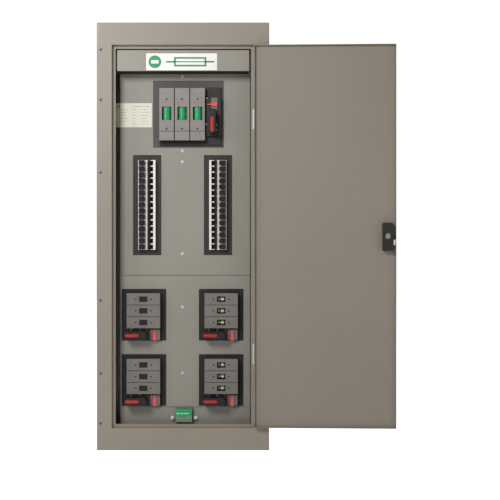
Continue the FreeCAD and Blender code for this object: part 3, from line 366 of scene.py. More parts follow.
def build_edge_wear_and_highlight():
    """A mask strongest along sharp edges, broken up by noise: worn edges together with a painted highlight.
    """
    tree, given, out = group("Edge Wear and Highlight", [("Width", "Float", 0.0008), ("Amount", "Float", 1.0)],
                             [("Mask", "Float")])
    soft = tree.nodes.new("ShaderNodeBevel")
    soft.samples = 4
    tree.links.new(given.outputs["Width"], soft.inputs["Radius"])
    facing = tree.nodes.new("ShaderNodeVectorMath")
    facing.operation = "DOT_PRODUCT"
    tree.links.new(soft.outputs["Normal"], facing.inputs[0])
    tree.links.new(tree.nodes.new("ShaderNodeNewGeometry").outputs["Normal"], facing.inputs[1])
    edge = ramp(tree, facing.outputs["Value"], 0.995, 0.8)
    broken = ramp(tree, noise(tree, 60.0, 3.0), 0.35, 0.65, 0.25, 1.0)
    masked = math_node(tree, "MULTIPLY", math_node(tree, "MULTIPLY", edge, broken), given.outputs["Amount"],
                       True)
    tree.links.new(masked, out.inputs["Mask"])
    return tree


def build_dust():
    """A mask for dust, which lies on faces that look up and in patches elsewhere."""
    tree, given, out = group("Dust", [("Amount", "Float", 0.2)], [("Mask", "Float")])
    split = tree.nodes.new("ShaderNodeSeparateXYZ")
    tree.links.new(tree.nodes.new("ShaderNodeNewGeometry").outputs["Normal"], split.inputs[0])
    up = ramp(tree, split.outputs["Z"], 0.2, 1.0, 0.12, 1.0)
    patches = ramp(tree, noise(tree, 9.0, 4.0), 0.35, 0.75)
    masked = math_node(tree, "MULTIPLY", math_node(tree, "MULTIPLY", up, patches), given.outputs["Amount"],
                       True)
    tree.links.new(masked, out.inputs["Mask"])
    return tree


def shared(name, build):
    return bpy.data.node_groups.get(name) or build()


def place_group(tree, name, build, **values):
    node = tree.nodes.new("ShaderNodeGroup")
    node.node_tree = shared(name, build)
    for label, value in values.items():
        node.inputs[label.replace("_", " ")].default_value = value
    return node


def mix_tone(tree, mask, first, second):
    node = tree.nodes.new("ShaderNodeMix")
    node.data_type = "RGBA"
    tree.links.new(mask, node.inputs[0])
    for n, value in ((6, first), (7, second)):
        if isinstance(value, tuple):
            node.inputs[n].default_value = value + (1,)
        else:
            tree.links.new(value, node.inputs[n])
    return node.outputs[2]


DUST_TONE = linear(170, 164, 150)


def finish(name, tone, rough=(0.4, 0.5), metallic=0.0, change=0.04, patch=4.0, fleck=700.0, grain=900.0,
           pits=0.3, depth=0.02, wear_and_highlight=0.0, wear_and_highlight_tone=None, wear_and_highlight_width=0.0008, dust=0.0, coat=0.0,
           brushed=False, bands=()):
    """A procedural finish. Bands are (axis, low, high, colour) in metres, painted across the piece."""
    found = bpy.data.materials.get(name)
    if found:
        return found
    tone = tuple(tone)
    material = bpy.data.materials.new(name)
    material.use_nodes = True
    material.diffuse_color = tone + (1,)
    tree = material.node_tree
    shader = tree.nodes["Principled BSDF"]
    shader.inputs["Metallic"].default_value = metallic
    shader.inputs["Coat Weight"].default_value = coat
    uneven = place_group(tree, "Uneven Tone", build_uneven_tone, Change=change, Patch_Scale=patch,
                         Fleck_Scale=fleck)
    uneven.inputs["Tone"].default_value = tone + (1,)
    for axis, low, high, band_tone in bands:
        split = tree.nodes.new("ShaderNodeSeparateXYZ")
        tree.links.new(tree.nodes.new("ShaderNodeTexCoord").outputs["Object"], split.inputs[0])
        above = math_node(tree, "GREATER_THAN", split.outputs[axis], low)
        below = math_node(tree, "LESS_THAN", split.outputs[axis], high)
        inside = math_node(tree, "MULTIPLY", above, below)
        earlier = uneven.inputs["Tone"].links[0].from_socket if uneven.inputs["Tone"].links else tone
        tree.links.new(mix_tone(tree, inside, earlier, tuple(band_tone)), uneven.inputs["Tone"])
    surface = uneven.outputs["Tone"]
    if dust > 0:
        mask = place_group(tree, "Dust", build_dust, Amount=dust).outputs["Mask"]
        surface = mix_tone(tree, mask, surface, DUST_TONE)
    # Edges lighter than the face: partly worn edges, partly a painted highlight on their rounding.
    if wear_and_highlight > 0:
        edge = place_group(tree, "Edge Wear and Highlight", build_edge_wear_and_highlight, Amount=wear_and_highlight, Width=wear_and_highlight_width).outputs["Mask"]
        surface = mix_tone(tree, edge, surface, tuple(wear_and_highlight_tone or [min(1.0, c * 1.6) for c in tone]))
    tree.links.new(surface, shader.inputs["Base Color"])
    tree.links.new(ramp(tree, uneven.outputs["Value"], 0.0, 1.0, rough[0], rough[1]),
                   shader.inputs["Roughness"])
    if brushed:
        height = place_group(tree, "Brushed Lines", build_brushing, Scale=grain).outputs["Height"]
    else:
        height = place_group(tree, "Surface Grain", build_grain, Scale=grain, Pits=pits).outputs["Height"]
    bump = tree.nodes.new("ShaderNodeBump")
    bump.inputs["Strength"].default_value = 0.5
    bump.inputs["Distance"].default_value = depth * MM
    tree.links.new(height, bump.inputs["Height"])
    tree.links.new(bump.outputs["Normal"], shader.inputs["Normal"])
    return material


def shade(tone, share):
    return tuple(min(1.0, c * share) for c in tone)


def palette():
    """The finishes, made from the colour settings."""
    c = bpy.context.scene.panelboard_colours
    trim, sheet, black, cover = tuple(c.trim), tuple(c.deadfront), tuple(c.black), tuple(c.cover)
    steel, green = tuple(c.steel), tuple(c.green)
    return {
        "trim": finish("Trim paint", trim, (0.42, 0.55), change=0.035, patch=3.0, depth=0.05, grain=500.0,
                       wear_and_highlight=0.35, dust=0.10, coat=0.04),
        # The trim's paint at 0.9 of its brightness: painted shade on the door.
        "door": finish("Door paint", shade(trim, 0.9), (0.44, 0.56), change=0.035, patch=2.2, depth=0.05,
                       grain=500.0, wear_and_highlight=0.35, dust=0.08, coat=0.04),
        "box": finish("Box paint", shade(trim, 0.92), (0.5, 0.62), change=0.05, patch=3.0, depth=0.05,
                      grain=450.0, wear_and_highlight=0.3, dust=0.15),
        "sheet": finish("Dead-front paint", sheet, (0.40, 0.52), change=0.04, patch=3.5, depth=0.05,
                        grain=480.0, wear_and_highlight=0.3, wear_and_highlight_tone=shade(sheet, 1.35), dust=0.05, coat=0.03),
        "black": finish("Black moulding", black, (0.42, 0.58), change=0.12, patch=30.0, grain=1500.0,
                        pits=0.6, depth=0.05, wear_and_highlight=0.25, wear_and_highlight_tone=linear(84, 80, 75), dust=0.04),
        "barrier": finish("Barrier board", linear(40, 35, 33), (0.5, 0.65), change=0.10,
                          patch=14.0, grain=700.0, depth=0.04, dust=0.06,
                          # The bands paint the board lighter round the main switch and near black round the
                          # branch switches: painted light and shade.
                          bands=[("Z", 0.26, 0.6, linear(80, 73, 70)),
                                 ("Z", -0.6, -0.14, linear(22, 19, 17))]),
        # Its grey-green edge tone is mostly a painted highlight on the lever's outline.
        "lever": finish("Handle moulding", linear(9, 9, 9), (0.42, 0.54), change=0.10, patch=40.0,
                        grain=1600.0, pits=0.5, depth=0.03, wear_and_highlight=0.5, wear_and_highlight_tone=linear(92, 96, 84),
                        wear_and_highlight_width=0.0012),
        "cover": finish("Cover moulding", cover, (0.42, 0.55), change=0.06, patch=25.0, grain=1300.0,
                        pits=0.7, depth=0.06, wear_and_highlight=0.45, wear_and_highlight_tone=shade(cover, 1.4), dust=0.12),
        # The covers' moulding at 0.72 of its brightness for the branch switches: painted shade.
        "branch_cover": finish("Branch cover moulding, painted shade", shade(cover, 0.72), (0.45, 0.58), change=0.06,
                               patch=25.0, grain=1300.0, pits=0.7, depth=0.06, wear_and_highlight=0.45,
                               wear_and_highlight_tone=shade(cover, 1.1), dust=0.08),
        "light": finish("Light moulding", tuple(c.light), (0.38, 0.48), change=0.04, patch=30.0, grain=1400.0,
                        depth=0.03, dust=0.05),
        # Its near-white edge tone is mostly a painted highlight on the rims of the grips and toggles.
        "knob": finish("Knob moulding", linear(30, 28, 26), (0.3, 0.42), change=0.10, patch=60.0,
                       grain=1800.0, depth=0.03, wear_and_highlight=0.9, wear_and_highlight_tone=linear(176, 170, 160),
                       wear_and_highlight_width=0.0008, coat=0.15),
        "plate": finish("Carrier plate", linear(196, 193, 186), (0.4, 0.5), change=0.05, patch=40.0,
                        grain=1500.0, depth=0.03),
        "green": finish("Green moulding", green, (0.36, 0.48), change=0.08, patch=30.0, grain=1500.0,
                        depth=0.03, wear_and_highlight=0.3, wear_and_highlight_tone=shade(green, 1.8)),
        "grey": finish("Surge body", linear(136, 136, 130), (0.42, 0.52), change=0.06, patch=30.0,
                       grain=1400.0, depth=0.04, dust=0.1),
        "zinc": finish("Zinc plate", steel, (0.24, 0.42), metallic=0.9, change=0.10, patch=60.0, grain=900.0,
                       depth=0.02, brushed=True),
        # Lighter and less metallic than the zinc: a painted highlight along the hinge.
        "hinge_painted_highlight": finish("Hinge metal, painted highlight", linear(205, 200, 190), (0.4, 0.55), metallic=0.3, change=0.06,
                               patch=60.0, grain=900.0, depth=0.02, brushed=True),
        "pan": finish("Pan plate", shade(steel, 0.8), (0.35, 0.5), metallic=0.7, change=0.12, patch=12.0,
                      grain=700.0, depth=0.02, brushed=True),
        "bright": finish("Bright metal", linear(236, 235, 228), (0.3, 0.42), metallic=0.35, change=0.05,
                         patch=80.0, grain=1200.0, depth=0.01, brushed=True),
        "lock": finish("Lock metal", linear(158, 162, 148), (0.3, 0.45), metallic=0.5, change=0.08,
                       patch=90.0, grain=1200.0, depth=0.01, wear_and_highlight=0.4),
        "aluminium": finish("Aluminium bar", linear(196, 197, 198), (0.28, 0.40), metallic=0.95, change=0.05,
                            patch=20.0, grain=800.0, depth=0.02, brushed=True),
        "insulator": finish("Red-brown moulding", linear(110, 52, 40), (0.45, 0.6), change=0.15, patch=40.0,
                            grain=900.0, depth=0.05),
        "red": finish("Red insert", tuple(c.red), (0.3, 0.42), change=0.08, patch=50.0, grain=1500.0,
                      depth=0.03, wear_and_highlight=0.4, wear_and_highlight_tone=shade(tuple(c.red), 1.5), coat=0.1),
        "ring": finish("Arrow print", linear(110, 22, 18), (0.45, 0.55), change=0.08, patch=50.0,
                       grain=1500.0),
        # Its pale pink edge tone is mostly a painted highlight on the tag's edges.
        "tag": finish("Tag moulding", tuple(c.tag), (0.34, 0.44), change=0.08, patch=50.0, grain=1400.0,
                      depth=0.03, wear_and_highlight=0.6, wear_and_highlight_tone=linear(250, 170, 160), coat=0.1),
        "face": finish("Switch faceplate", linear(112, 110, 106), (0.4, 0.5), change=0.08, patch=40.0,
                       grain=1200.0, depth=0.03, wear_and_highlight=0.3),
        # Near black: painted shade in screw recesses, holes, seams, channels and gaps.
        "painted_shade": finish("Painted shade", linear(16, 15, 14), (0.6, 0.75), change=0.15, patch=60.0, grain=1200.0),
        # Near black: painted shade in the empty windows of the left branch covers.
        "painted_shade_sheet": finish("Sheet of painted shade", linear(9, 8, 6), (0.4, 0.52), change=0.2, patch=60.0, grain=300.0,
                        depth=0.01),
        # Screw metal made half as bright in the recesses: painted shade.
        "pocket": finish("Screw recess, painted shade", linear(120, 119, 114), (0.4, 0.5), metallic=0.6, change=0.1,
                         patch=90.0),
        "painted_screw": finish("Painted screw", shade(trim, 0.75), (0.35, 0.5), metallic=0.2, change=0.1,
                                patch=90.0, wear_and_highlight=0.4),
    }


CAD_FINISHES = {
    "trim": ("trim_frame",),
    "door": ("door_panel",),
    "box": ("enclosure_box",),
    "sheet": ("header_plate", "deadfront_upper", "deadfront_lower", "deadfront_base"),
    "barrier": ("barrier_plates",),
    "pan": ("mounting_pan", "din_rails"),
    "hinge_painted_highlight": ("hinge_frame_leaves", "hinge_pins", "hinge_door_leaves"),
    "aluminium": ("phase_busbars", "neutral_bar", "ground_bar"),
    "insulator": ("bar_insulators",),
    "black": ("main_switch_base", "branch_switch_bases", "latch_housing"),
    "cover": tuple("main_cover_" + n for n in POLES),
    "branch_cover": tuple("branch_cover_" + n for n in BRANCHES),
    "light": ("left_strip_bodies", "right_strip_bodies"),
    "green": ("surge_cartridges",),
    "grey": ("surge_base",),
    "bright": ("latch_bolt",),
    "lock": ("lock_cylinder",),
}
EDGES_MM = {
    "main_switch_base": 0.8, "branch_switch_bases": 0.8, "latch_housing": 1.0,
    "left_strip_bodies": 0.35, "right_strip_bodies": 0.35, "surge_base": 0.5,
    "surge_cartridges": 0.8, "header_plate": 0.8, "latch_bolt": 0.4, "lock_cylinder": 0.4,
    "bar_insulators": 0.8,
}


class PANELBOARD_OT_frame_finishes(bpy.types.Operator):
    """Gives each part of the frame its finish and rounds the edges of the moulded ones"""

    bl_idname = "panelboard.frame_finishes"
    bl_label = "Frame Finishes"
    bl_options = {"REGISTER", "UNDO"}

    def execute(self, context):
        finishes, sizes = palette(), context.scene.panelboard_sizes
        for key, names in CAD_FINISHES.items():
            for name in names:
                node = NODES[name]
                if not node.material_slots:
                    node.data.materials.append(finishes[key])
                for slot in node.material_slots:
                    slot.material = finishes[key]
                edge = sizes.cover_edge if key.endswith("cover") else EDGES_MM.get(name, 0.0) * MM
                if edge > 0:
                    bevelled(node, edge, weld=True)
        return {"FINISHED"}


def add_screw(bm, x, d, z, radius, height, turn=0.0):
    """A pan-head screw with a cross recess, which stands on a face at depth d.

    Its materials are 0 for the metal and 1 for the recess, whose finish is painted shade.
    """
    arm, width, sunk = radius * 0.52, radius * 0.16, height * 0.55
    cross = [(arm, -width), (arm, width), (width, width), (width, arm), (-width, arm), (-width, width),
             (-arm, width), (-arm, -width), (-width, -width), (-width, -arm), (width, -arm), (width, -width)]
    cross = turned([(x + a, z + b) for a, b in cross], x, z, turn)
    steps = 24
    front = d - height
    top = [bm.verts.new(point(a, front, b)) for a, b in circle(x, z, radius * 0.68, steps)]
    inner = [bm.verts.new(point(a, front, b)) for a, b in cross]
    floor = [bm.verts.new(point(x + (a - x) * 0.8, front + sunk, z + (b - z) * 0.8)) for a, b in cross]
    edges = [bm.edges.new((loop[n], loop[(n + 1) % len(loop)])) for loop in (top, inner)
             for n in range(len(loop))]
    bmesh.ops.triangle_fill(bm, edges=edges, use_beauty=True, use_dissolve=False)
    for n in range(len(inner)):
        m = (n + 1) % len(inner)
        bm.faces.new((inner[n], inner[m], floor[m], floor[n])).material_index = 1
    bm.faces.new(floor).material_index = 1
    rings = [top]
    for share, depth in ((0.86, 0.16), (0.97, 0.48), (1.0, 0.78), (1.0, 1.0)):
        rings.append([bm.verts.new(point(a, front + height * depth, b)) for a,
                      b in circle(x, z, radius * share, steps)])
    for outer, inner_ring in zip(rings[1:], rings):
        for n in range(steps):
            m = (n + 1) % steps
            bm.faces.new((inner_ring[n], inner_ring[m], outer[m], outer[n]))
    bm.faces.new(rings[-1])


KNURL_SHARE = 0.93


def add_thumb_screw(bm, x, d, z, radius, height):
    """A knurled thumb screw with a slot."""
    steps = 40
    knurl = []
    for n in range(steps):
        r = radius * (1.0 if n % 2 else KNURL_SHARE)
        a = 2 * math.pi * n / steps
        knurl.append((x + r * math.cos(a), z + r * math.sin(a)))
    add_plate(bm, knurl, d - height * 0.85, d - height * 0.2)
    add_turning(bm, at(x, d, z), (0, -1, 0), [(0, radius * 0.7), (height * 0.25, radius * 0.7)])
    rise = height * 0.84
    slot = rounded(x - radius * 0.62, x + radius * 0.62, z - radius * 0.1, z + radius * 0.1)
    add_plate(bm, circle(x, z, radius * 0.82, 32), d - height, d - rise, [slot], taper=0.06)
    add_plate(bm, slot, d - rise - 0.1, d - rise, material=1)


SCREW_R, SCREW_H = 4.6, 2.2
THUMB_R, THUMB_H = 6.0, 9.0
TRIM_SCREW_X, TRIM_SCREW_ZS = 244.5, (555.0, 406.0, 190.0, -190.0, -406.0, -555.0)
SHEET_DEPTH = 60.0
SHEET_LEFT = span("deadfront_upper")[0].x
SHEET_SCREWS = (-5.0, (485.0, 260.0, 226.0, -51.95, -213.25, -412.75))
THUMB_SCREWS = ((-35.3, -547.0), (34.7, -547.0))
TURN_STEP = 37.0


class PANELBOARD_OT_screws(bpy.types.Operator):
    """Screws with cross recesses and the two knurled thumb screws"""

    bl_idname = "panelboard.screws"
    bl_label = "Screws"
    bl_options = {"REGISTER", "UNDO"}

    def execute(self, context):
        finishes = palette()
        bm = bmesh.new()
        for n, (side, z) in enumerate((side, z) for side in (-1, 1) for z in TRIM_SCREW_ZS):
            add_screw(bm, side * TRIM_SCREW_X, 0.0, z, SCREW_R, SCREW_H, n * TURN_STEP)
        piece("trim_screws", bm, [finishes["painted_screw"], finishes["painted_shade"]], "panel")
        bm = bmesh.new()
        for n, z in enumerate(SHEET_SCREWS[1]):
            add_screw(bm, SHEET_SCREWS[0], SHEET_DEPTH, z, SCREW_R, SCREW_H, n * TURN_STEP)
        for x, z in THUMB_SCREWS:
            add_thumb_screw(bm, x, SHEET_DEPTH, z, THUMB_R, THUMB_H)
        piece("screws", bm, [finishes["bright"], finishes["pocket"]], "panel",
              replaces=["fasteners"])
        return {"FINISHED"}


class PANELBOARD_OT_name_plate(bpy.types.Operator):
    """A white name plate that carries the plain symbol for a fuse, in green"""

    bl_idname = "panelboard.name_plate"
    bl_label = "Name Plate"
    bl_options = {"REGISTER", "UNDO"}

    def execute(self, context):
        sizes = context.scene.panelboard_sizes
        low, high = span("header_plate")
        depth = low.y - FRONT
        thick, ink = sizes.plate_thick / MM, sizes.print_thick / MM
        x0, x1, z0, z1 = -110.0, 101.0, low.z + 2.2, high.z - 10.0
        white = finish("Plate white", linear(244, 240, 236), (0.28, 0.36), change=0.02, patch=12.0,
                       depth=0.01)
        print_green = finish("Plate print", linear(28, 148, 92), (0.35, 0.45), change=0.05, patch=40.0,
                             depth=0.01)
        bm = bmesh.new()
        add_plate(bm, rounded(x0, x1, z0, z1, 1.5), depth - thick, depth)
        front = depth - thick
        middle = (z0 + z1) / 2
        half = 19.0
        left = x0 + 7.0
        window = rounded(left + 8.0, left + 2 * half - 8.0, middle - 5.0, middle + 5.0, 1.0)
        add_plate(bm, circle(left + half, middle, half, 48), front - ink, front, [window], material=1)
        line_x0, line_x1 = left + 2 * half + 14.0, x1 - 8.0
        box_x0, box_x1 = line_x0 + 24.0, line_x1 - 24.0
        stroke = 5.0
        hole = rounded(box_x0 + stroke, box_x1 - stroke, middle - 9.0, middle + 9.0, 0.6)
        add_plate(bm, rounded(box_x0, box_x1, middle - 14.0, middle + 14.0, 1.2), front - ink, front,
                  [hole], material=1)
        add_plate(bm, rounded(line_x0, box_x0 + stroke - 0.5, middle - 2.5, middle + 2.5, 0.5), front - ink,
                  front, material=1)
        add_plate(bm, rounded(box_x1 - stroke + 0.5, line_x1, middle - 2.5, middle + 2.5, 0.5), front - ink,
                  front, material=1)
        add_plate(bm, rounded(box_x0 + stroke, box_x1 - stroke, middle - 1.6, middle + 1.6, 0.3),
                  front - ink, front, material=1)
        piece("name_plate", bm, [white, print_green], "panel")
        return {"FINISHED"}


class PANELBOARD_OT_directory_card(bpy.types.Operator):
    """A ruled directory card, which stands a little past the dead-front's left edge"""

    bl_idname = "panelboard.directory_card"
    bl_label = "Directory Card"
    bl_options = {"REGISTER", "UNDO"}

    def execute(self, context):
        sizes = context.scene.panelboard_sizes
        colours = bpy.context.scene.panelboard_colours
        thick, ink = sizes.card_thick / MM, sizes.print_thick / MM
        # The band makes the card greener and less bright past the dead-front's left edge: a painted shadow
        # from the trim.
        card = finish("Card", tuple(colours.card), (0.5, 0.6), change=0.03, patch=20.0, grain=900.0,
                      depth=0.02, bands=[("X", -0.3, SHEET_LEFT * MM, linear(184, 190, 160))])
        rule = finish("Card rules", linear(150, 152, 140), (0.5, 0.6), change=0.1, patch=200.0)
        mark = finish("Card heading", linear(92, 132, 96), (0.5, 0.6), change=0.1, patch=200.0)
        x0, x1, z0, z1 = -207.5, -98.0, 331.0, 404.0
        front = SHEET_DEPTH - thick
        bm = bmesh.new()
        add_plate(bm, rounded(x0, x1, z0, z1, 2.0), front, SHEET_DEPTH - 0.02)
        columns = ((0.10, 0.34), (0.46, 0.58), (0.70, 0.93))
        rows = 6
        for n in range(rows):
            z = z1 - 20.0 - n * 8.6
            for k, (a, b) in enumerate(columns):
                cut = 0.03 * ((n + k) % 3)
                left, right = x0 + (x1 - x0) * a, x0 + (x1 - x0) * (b - cut)
                add_plate(bm, rounded(left, right, z - 0.45, z + 0.45), front - ink, front, material=1)
        add_plate(bm, rounded(x0 + 5.0, x0 + 13.0, z1 - 13.0, z1 - 7.0, 0.5), front - ink, front, material=2)
        add_plate(bm, rounded(x0 + 52.0, x1 - 7.0, z1 - 11.0, z1 - 9.8), front - ink, front, material=1)
        piece("directory_card", bm, [card, rule, mark], "panel")
        return {"FINISHED"}


LEVER = {"top": 12.0, "length": 60.0, "half": 12.0, "front": 16.0, "back": 34.0, "hub": 15.0,
         "hub_back": 45.5}
LEVER_GROOVES, GROOVE_PITCH = 5, 3.0
CAP_PROFILE = ((0, 3.2), (0.9, 3.0), (1.1, 2.4), (0.5, 2.0), (0.5, 0))
SWITCH_FACE = 47.5    # depth of the plates beside the handles


def lever_outline(x, z, half, up, down, waist):
    """A lever that hangs from (x, z): round at both ends and drawn in between them."""
    steps = 12
    outline = [(x + half * math.cos(math.pi * n / steps),
                z + up - half + half * math.sin(math.pi * n / steps)) for n in range(steps + 1)]
    drop = down - half
    outline += [(x - half + waist * math.sin(math.pi * s), z - drop * s) for s in (0.25, 0.5, 0.75)]
    outline += [(x - half * math.cos(math.pi * n / steps), z - drop - half * math.sin(math.pi * n / steps))
                for n in range(steps + 1)]
    outline += [(x + half - waist * math.sin(math.pi * s), z - drop * s) for s in (0.75, 0.5, 0.25)]
    return outline


class PANELBOARD_OT_handles(bpy.types.Operator):
    """The five rotary handles with their red inserts and arrow rings"""

    bl_idname = "panelboard.handles"
    bl_label = "Handles"
    bl_options = {"REGISTER", "UNDO"}

    def execute(self, context):
        finishes, sizes = palette(), context.scene.panelboard_sizes
        low, high = span("main_handle")
        x = (low.x + high.x) / 2
        self.build("main_handle", x, high.z - LEVER["top"], 0.0, finishes, sizes, 0.0)
        for name in BRANCHES:
            low, high = span("branch_handle_" + name)
            z = (low.z + high.z) / 2
            self.build("branch_handle_" + name, high.x - LEVER["hub"], z, -90.0, finishes, sizes, 1.0)
        return {"FINISHED"}

    def build(self, node, x, z, turn, finishes, sizes, ring):
        v = LEVER
        bm = bmesh.new()
        outline = turned(lever_outline(x, z, v["half"], v["top"], v["length"], 1.2), x, z, turn)
        add_plate(bm, outline, v["front"], v["back"], taper=0.05)
        hub_front = v["back"] - 1.0
        add_turning(bm, at(x, hub_front, z), (0, 1, 0),
                    [(0, v["hub"] - 1.5), (2, v["hub"]), (v["hub_back"] - hub_front, v["hub"])], 40)
        for n in range(LEVER_GROOVES):
            groove_z = z - v["length"] + 6.0 + n * GROOVE_PITCH
            for side in (-1, 1):
                rib = rounded(x + side * v["half"] - 0.8, x + side * v["half"] + 0.4, groove_z,
                              groove_z + 1.2)
                add_plate(bm, turned(rib, x, z, turn), v["front"] + 4.0, v["back"] - 4.0)
        piece(node + "_lever", bm, [finishes["lever"]], node, sizes.lever_edge, 4, [node])
        lift = sizes.insert_thick / MM
        bm = bmesh.new()
        insert = rounded(x - 4.6, x + 4.6, z - 55.0, z - (13.0 if ring else 8.0), 3.8)
        add_plate(bm, turned(insert, x, z, turn), v["front"] - lift, v["front"] + 2.0, taper=0.04)
        inner = rounded(x - 1.8, x + 1.8, z - 50.0, z - 18.0, 1.7)
        add_plate(bm, turned(inner, x, z, turn), v["front"] - lift - 0.5, v["front"] - lift + 0.2, taper=0.05)
        piece(node + "_insert", bm, [finishes["red"]], node, 0.0006, 3)
        bm = bmesh.new()
        add_turning(bm, at(x, v["front"] + 0.3, z - 0.2), (0, -1, 0), CAP_PROFILE, 24)
        piece(node + "_cap", bm, [finishes["lever"]], node)
        if ring:
            bm = bmesh.new()
            arc = [(x + r * math.cos(math.radians(a)), z + r * math.sin(math.radians(a)))
                   for r, angles in ((19.0, range(-40, 66, 10)), (15.8, range(60, -46, -10))) for a in angles]
            add_plate(bm, arc, v["back"] + 2.5, v["back"] + 4.5)
            tip = [(x + 10.0, z + 12.5), (x + 13.5, z + 19.5), (x + 5.0, z + 17.5)]
            add_plate(bm, tip, v["back"] + 2.5, v["back"] + 4.5)
            piece(node + "_arrow", bm, [finishes["ring"]], node, 0.0003)


class PANELBOARD_OT_switch_plates(bpy.types.Operator):
    """Faceplates, padlock tags and small screws beside the handles"""

    bl_idname = "panelboard.switch_plates"
    bl_label = "Switch Plates"
    bl_options = {"REGISTER", "UNDO"}

    def execute(self, context):
        finishes = palette()
        low, high = span("main_handle")
        x, z = (low.x + high.x) / 2, high.z - LEVER["top"]
        face = SWITCH_FACE
        bm = bmesh.new()
        add_plate(bm, rounded(x - 3.5, x + 15.0, z + 16.0, z + 51.5, 1.2), face - 1.0, face)
        piece("main_faceplate", bm, [finishes["face"]], "panel", 0.0004)
        bm = bmesh.new()
        tag = [(x - 17.0, z + 29.0), (x - 17.0, z + 32.0), (x - 3.0, z + 34.0), (x - 1.0, z + 37.5),
               (x + 16.0, z + 38.0), (x + 16.0, z + 24.5), (x - 1.0, z + 25.5), (x - 3.0, z + 28.0)]
        add_plate(bm, tag, face - 4.5, face - 1.0, taper=0.04)
        piece("main_tag", bm, [finishes["tag"]], "panel", 0.0008, 3)
        bm = bmesh.new()
        for dx, dz in ((11.5, -30.0), (11.5, -45.5), (-18.0, -28.5), (-16.5, 49.5)):
            add_screw(bm, x + dx, face, z + dz, 2.4, 1.6, dz * TURN_STEP)
        piece("main_switch_screws", bm, [finishes["bright"], finishes["painted_shade"]], "panel")
        bm_face, bm_tag, bm_screw = bmesh.new(), bmesh.new(), bmesh.new()
        for name in BRANCHES:
            low, high = span("branch_handle_" + name)
            x, z = high.x - LEVER["hub"], (low.z + high.z) / 2
            add_plate(bm_face, rounded(x + 17.5, x + 47.0, z - 15.0, z + 16.5, 1.0), face - 1.0, face)
            middle = x + 31.5
            tag = [(middle - 2.2, z + 16.5), (middle + 2.2, z + 16.5), (middle + 4.6, z + 2.0),
                   (middle + 5.8, z - 13.5), (middle + 4.2, z - 17.0), (middle - 4.2, z - 17.0),
                   (middle - 5.8, z - 13.5), (middle - 4.6, z + 2.0)]
            add_plate(bm_tag, tag, face - 5.0, face - 1.0, taper=0.04)
            for dx in (-40.0, -14.0):
                add_screw(bm_screw, x + dx, face, z + 15.3, 2.4, 1.6, dx * TURN_STEP)
        piece("branch_faceplates", bm_face, [finishes["face"]], "panel", 0.0004)
        piece("branch_tags", bm_tag, [finishes["tag"]], "panel", 0.0008, 3)
        piece("branch_switch_screws", bm_screw, [finishes["bright"], finishes["painted_shade"]], "panel")
        return {"FINISHED"}


COVER_FRONT = 36.0       # depth of the covers' faces
MAIN_WINDOW_UP = 52.5    # a main cover's foot to the middle of its window
PROBE_X = 23.0           # middle of a branch cover to its test holes


def add_probe_hole(bm, x, z, outer, inner, rise, steps):
    """A raised ring round a near-black middle of painted shade, on a cover's face."""
    add_plate(bm, circle(x, z, outer, steps), COVER_FRONT - rise, COVER_FRONT + 0.2,
              [circle(x, z, inner, steps)])
    add_plate(bm, circle(x, z, inner, steps), COVER_FRONT - 0.1, COVER_FRONT + 0.2, material=1)


class PANELBOARD_OT_cover_details(bpy.types.Operator):
    """Raised frames, ribs and panes on the switches' covers; the panes are near-black sheets of painted shade
    """

    bl_idname = "panelboard.cover_details"
    bl_label = "Cover Details"
    bl_options = {"REGISTER", "UNDO"}

    def execute(self, context):
        finishes = palette()
        front = COVER_FRONT
        for name in POLES:
            low, high = span("main_cover_" + name)
            x = (low.x + high.x) / 2
            bm = bmesh.new()
            middle = low.z + MAIN_WINDOW_UP
            window = about(x, middle, 14.0, 20.0, 0.4)
            add_plate(bm, about(x, middle, 16.0, 22.0, 1.6), front - 0.5, front + 0.3, [window])
            for z in (low.z + 13.5, low.z + 17.0, high.z - 43.5, high.z - 40.5):
                add_plate(bm, about(x, z, 17.5, 0.45), front - 0.35, front + 0.2)
            for z in (low.z + 6.5, high.z - 33.5):
                add_probe_hole(bm, x, z, 3.6, 2.7, 0.4, 24)
            piece("main_cover_%s_frame" % name, bm, [finishes["cover"], finishes["painted_shade"]],
                  "main_cover_" + name, 0.0002)
            cap = bmesh.new()
            floor_z = low.z - 1.5
            add_plate(cap, rounded(x - 21.95, x + 21.95, floor_z - 26.6, floor_z, 0.3), front - 0.5,
                      front + 18.0)
            add_plate(cap, rounded(x - 17.5, x + 17.5, floor_z - 20.0, floor_z - 19.0), front - 0.8, front)
            piece("main_terminal_cover_" + name, cap, [finishes["cover"]], "panel", 0.0006, 2)
        for name in BRANCHES:
            low, high = span("branch_cover_" + name)
            x = (low.x + high.x) / 2
            pitch = (high.z - low.z) / 3
            bm, pane = bmesh.new(), bmesh.new()
            for n in range(3):
                z = low.z + (n + 0.5) * pitch
                window = about(x, z, 12.5, 8.25, 0.3)
                add_plate(bm, about(x, z, 14.0, 9.8, 1.2), front - 0.45, front + 0.3, [window])
                for side in (-1, 1):
                    add_probe_hole(bm, x + side * PROBE_X, z, 3.2, 2.4, 0.35, 20)
                    add_plate(bm, about(x + side * 40.0, z, 4.0, 0.5), front - 0.3, front + 0.2)
                add_plate(pane, about(x, z, 12.7, 8.45), front + 2.0, front + 2.8)
            # Near-black strips in the seams between the cover's modules: painted shade.
            for n in (1, 2):
                z = low.z + n * pitch
                add_plate(bm, rounded(low.x + 1.5, high.x - 1.5, z - 0.9, z + 0.9), front - 0.08,
                          front + 0.2, material=1)
            piece("branch_cover_%s_frame" % name, bm, [finishes["branch_cover"], finishes["painted_shade"]],
                  "branch_cover_" + name, 0.0002)
            # Only the left covers, whose windows hold no fuses, keep these sheets of painted shade.
            if name.endswith("left"):
                piece("branch_cover_%s_panes" % name, pane, [finishes["painted_shade_sheet"]], "branch_cover_" + name)
            else:
                pane.free()
        return {"FINISHED"}


MAIN_FUSE = (14.3, 58.0)    # radius and length
BRANCH_FUSE = (7.0, 44.0)


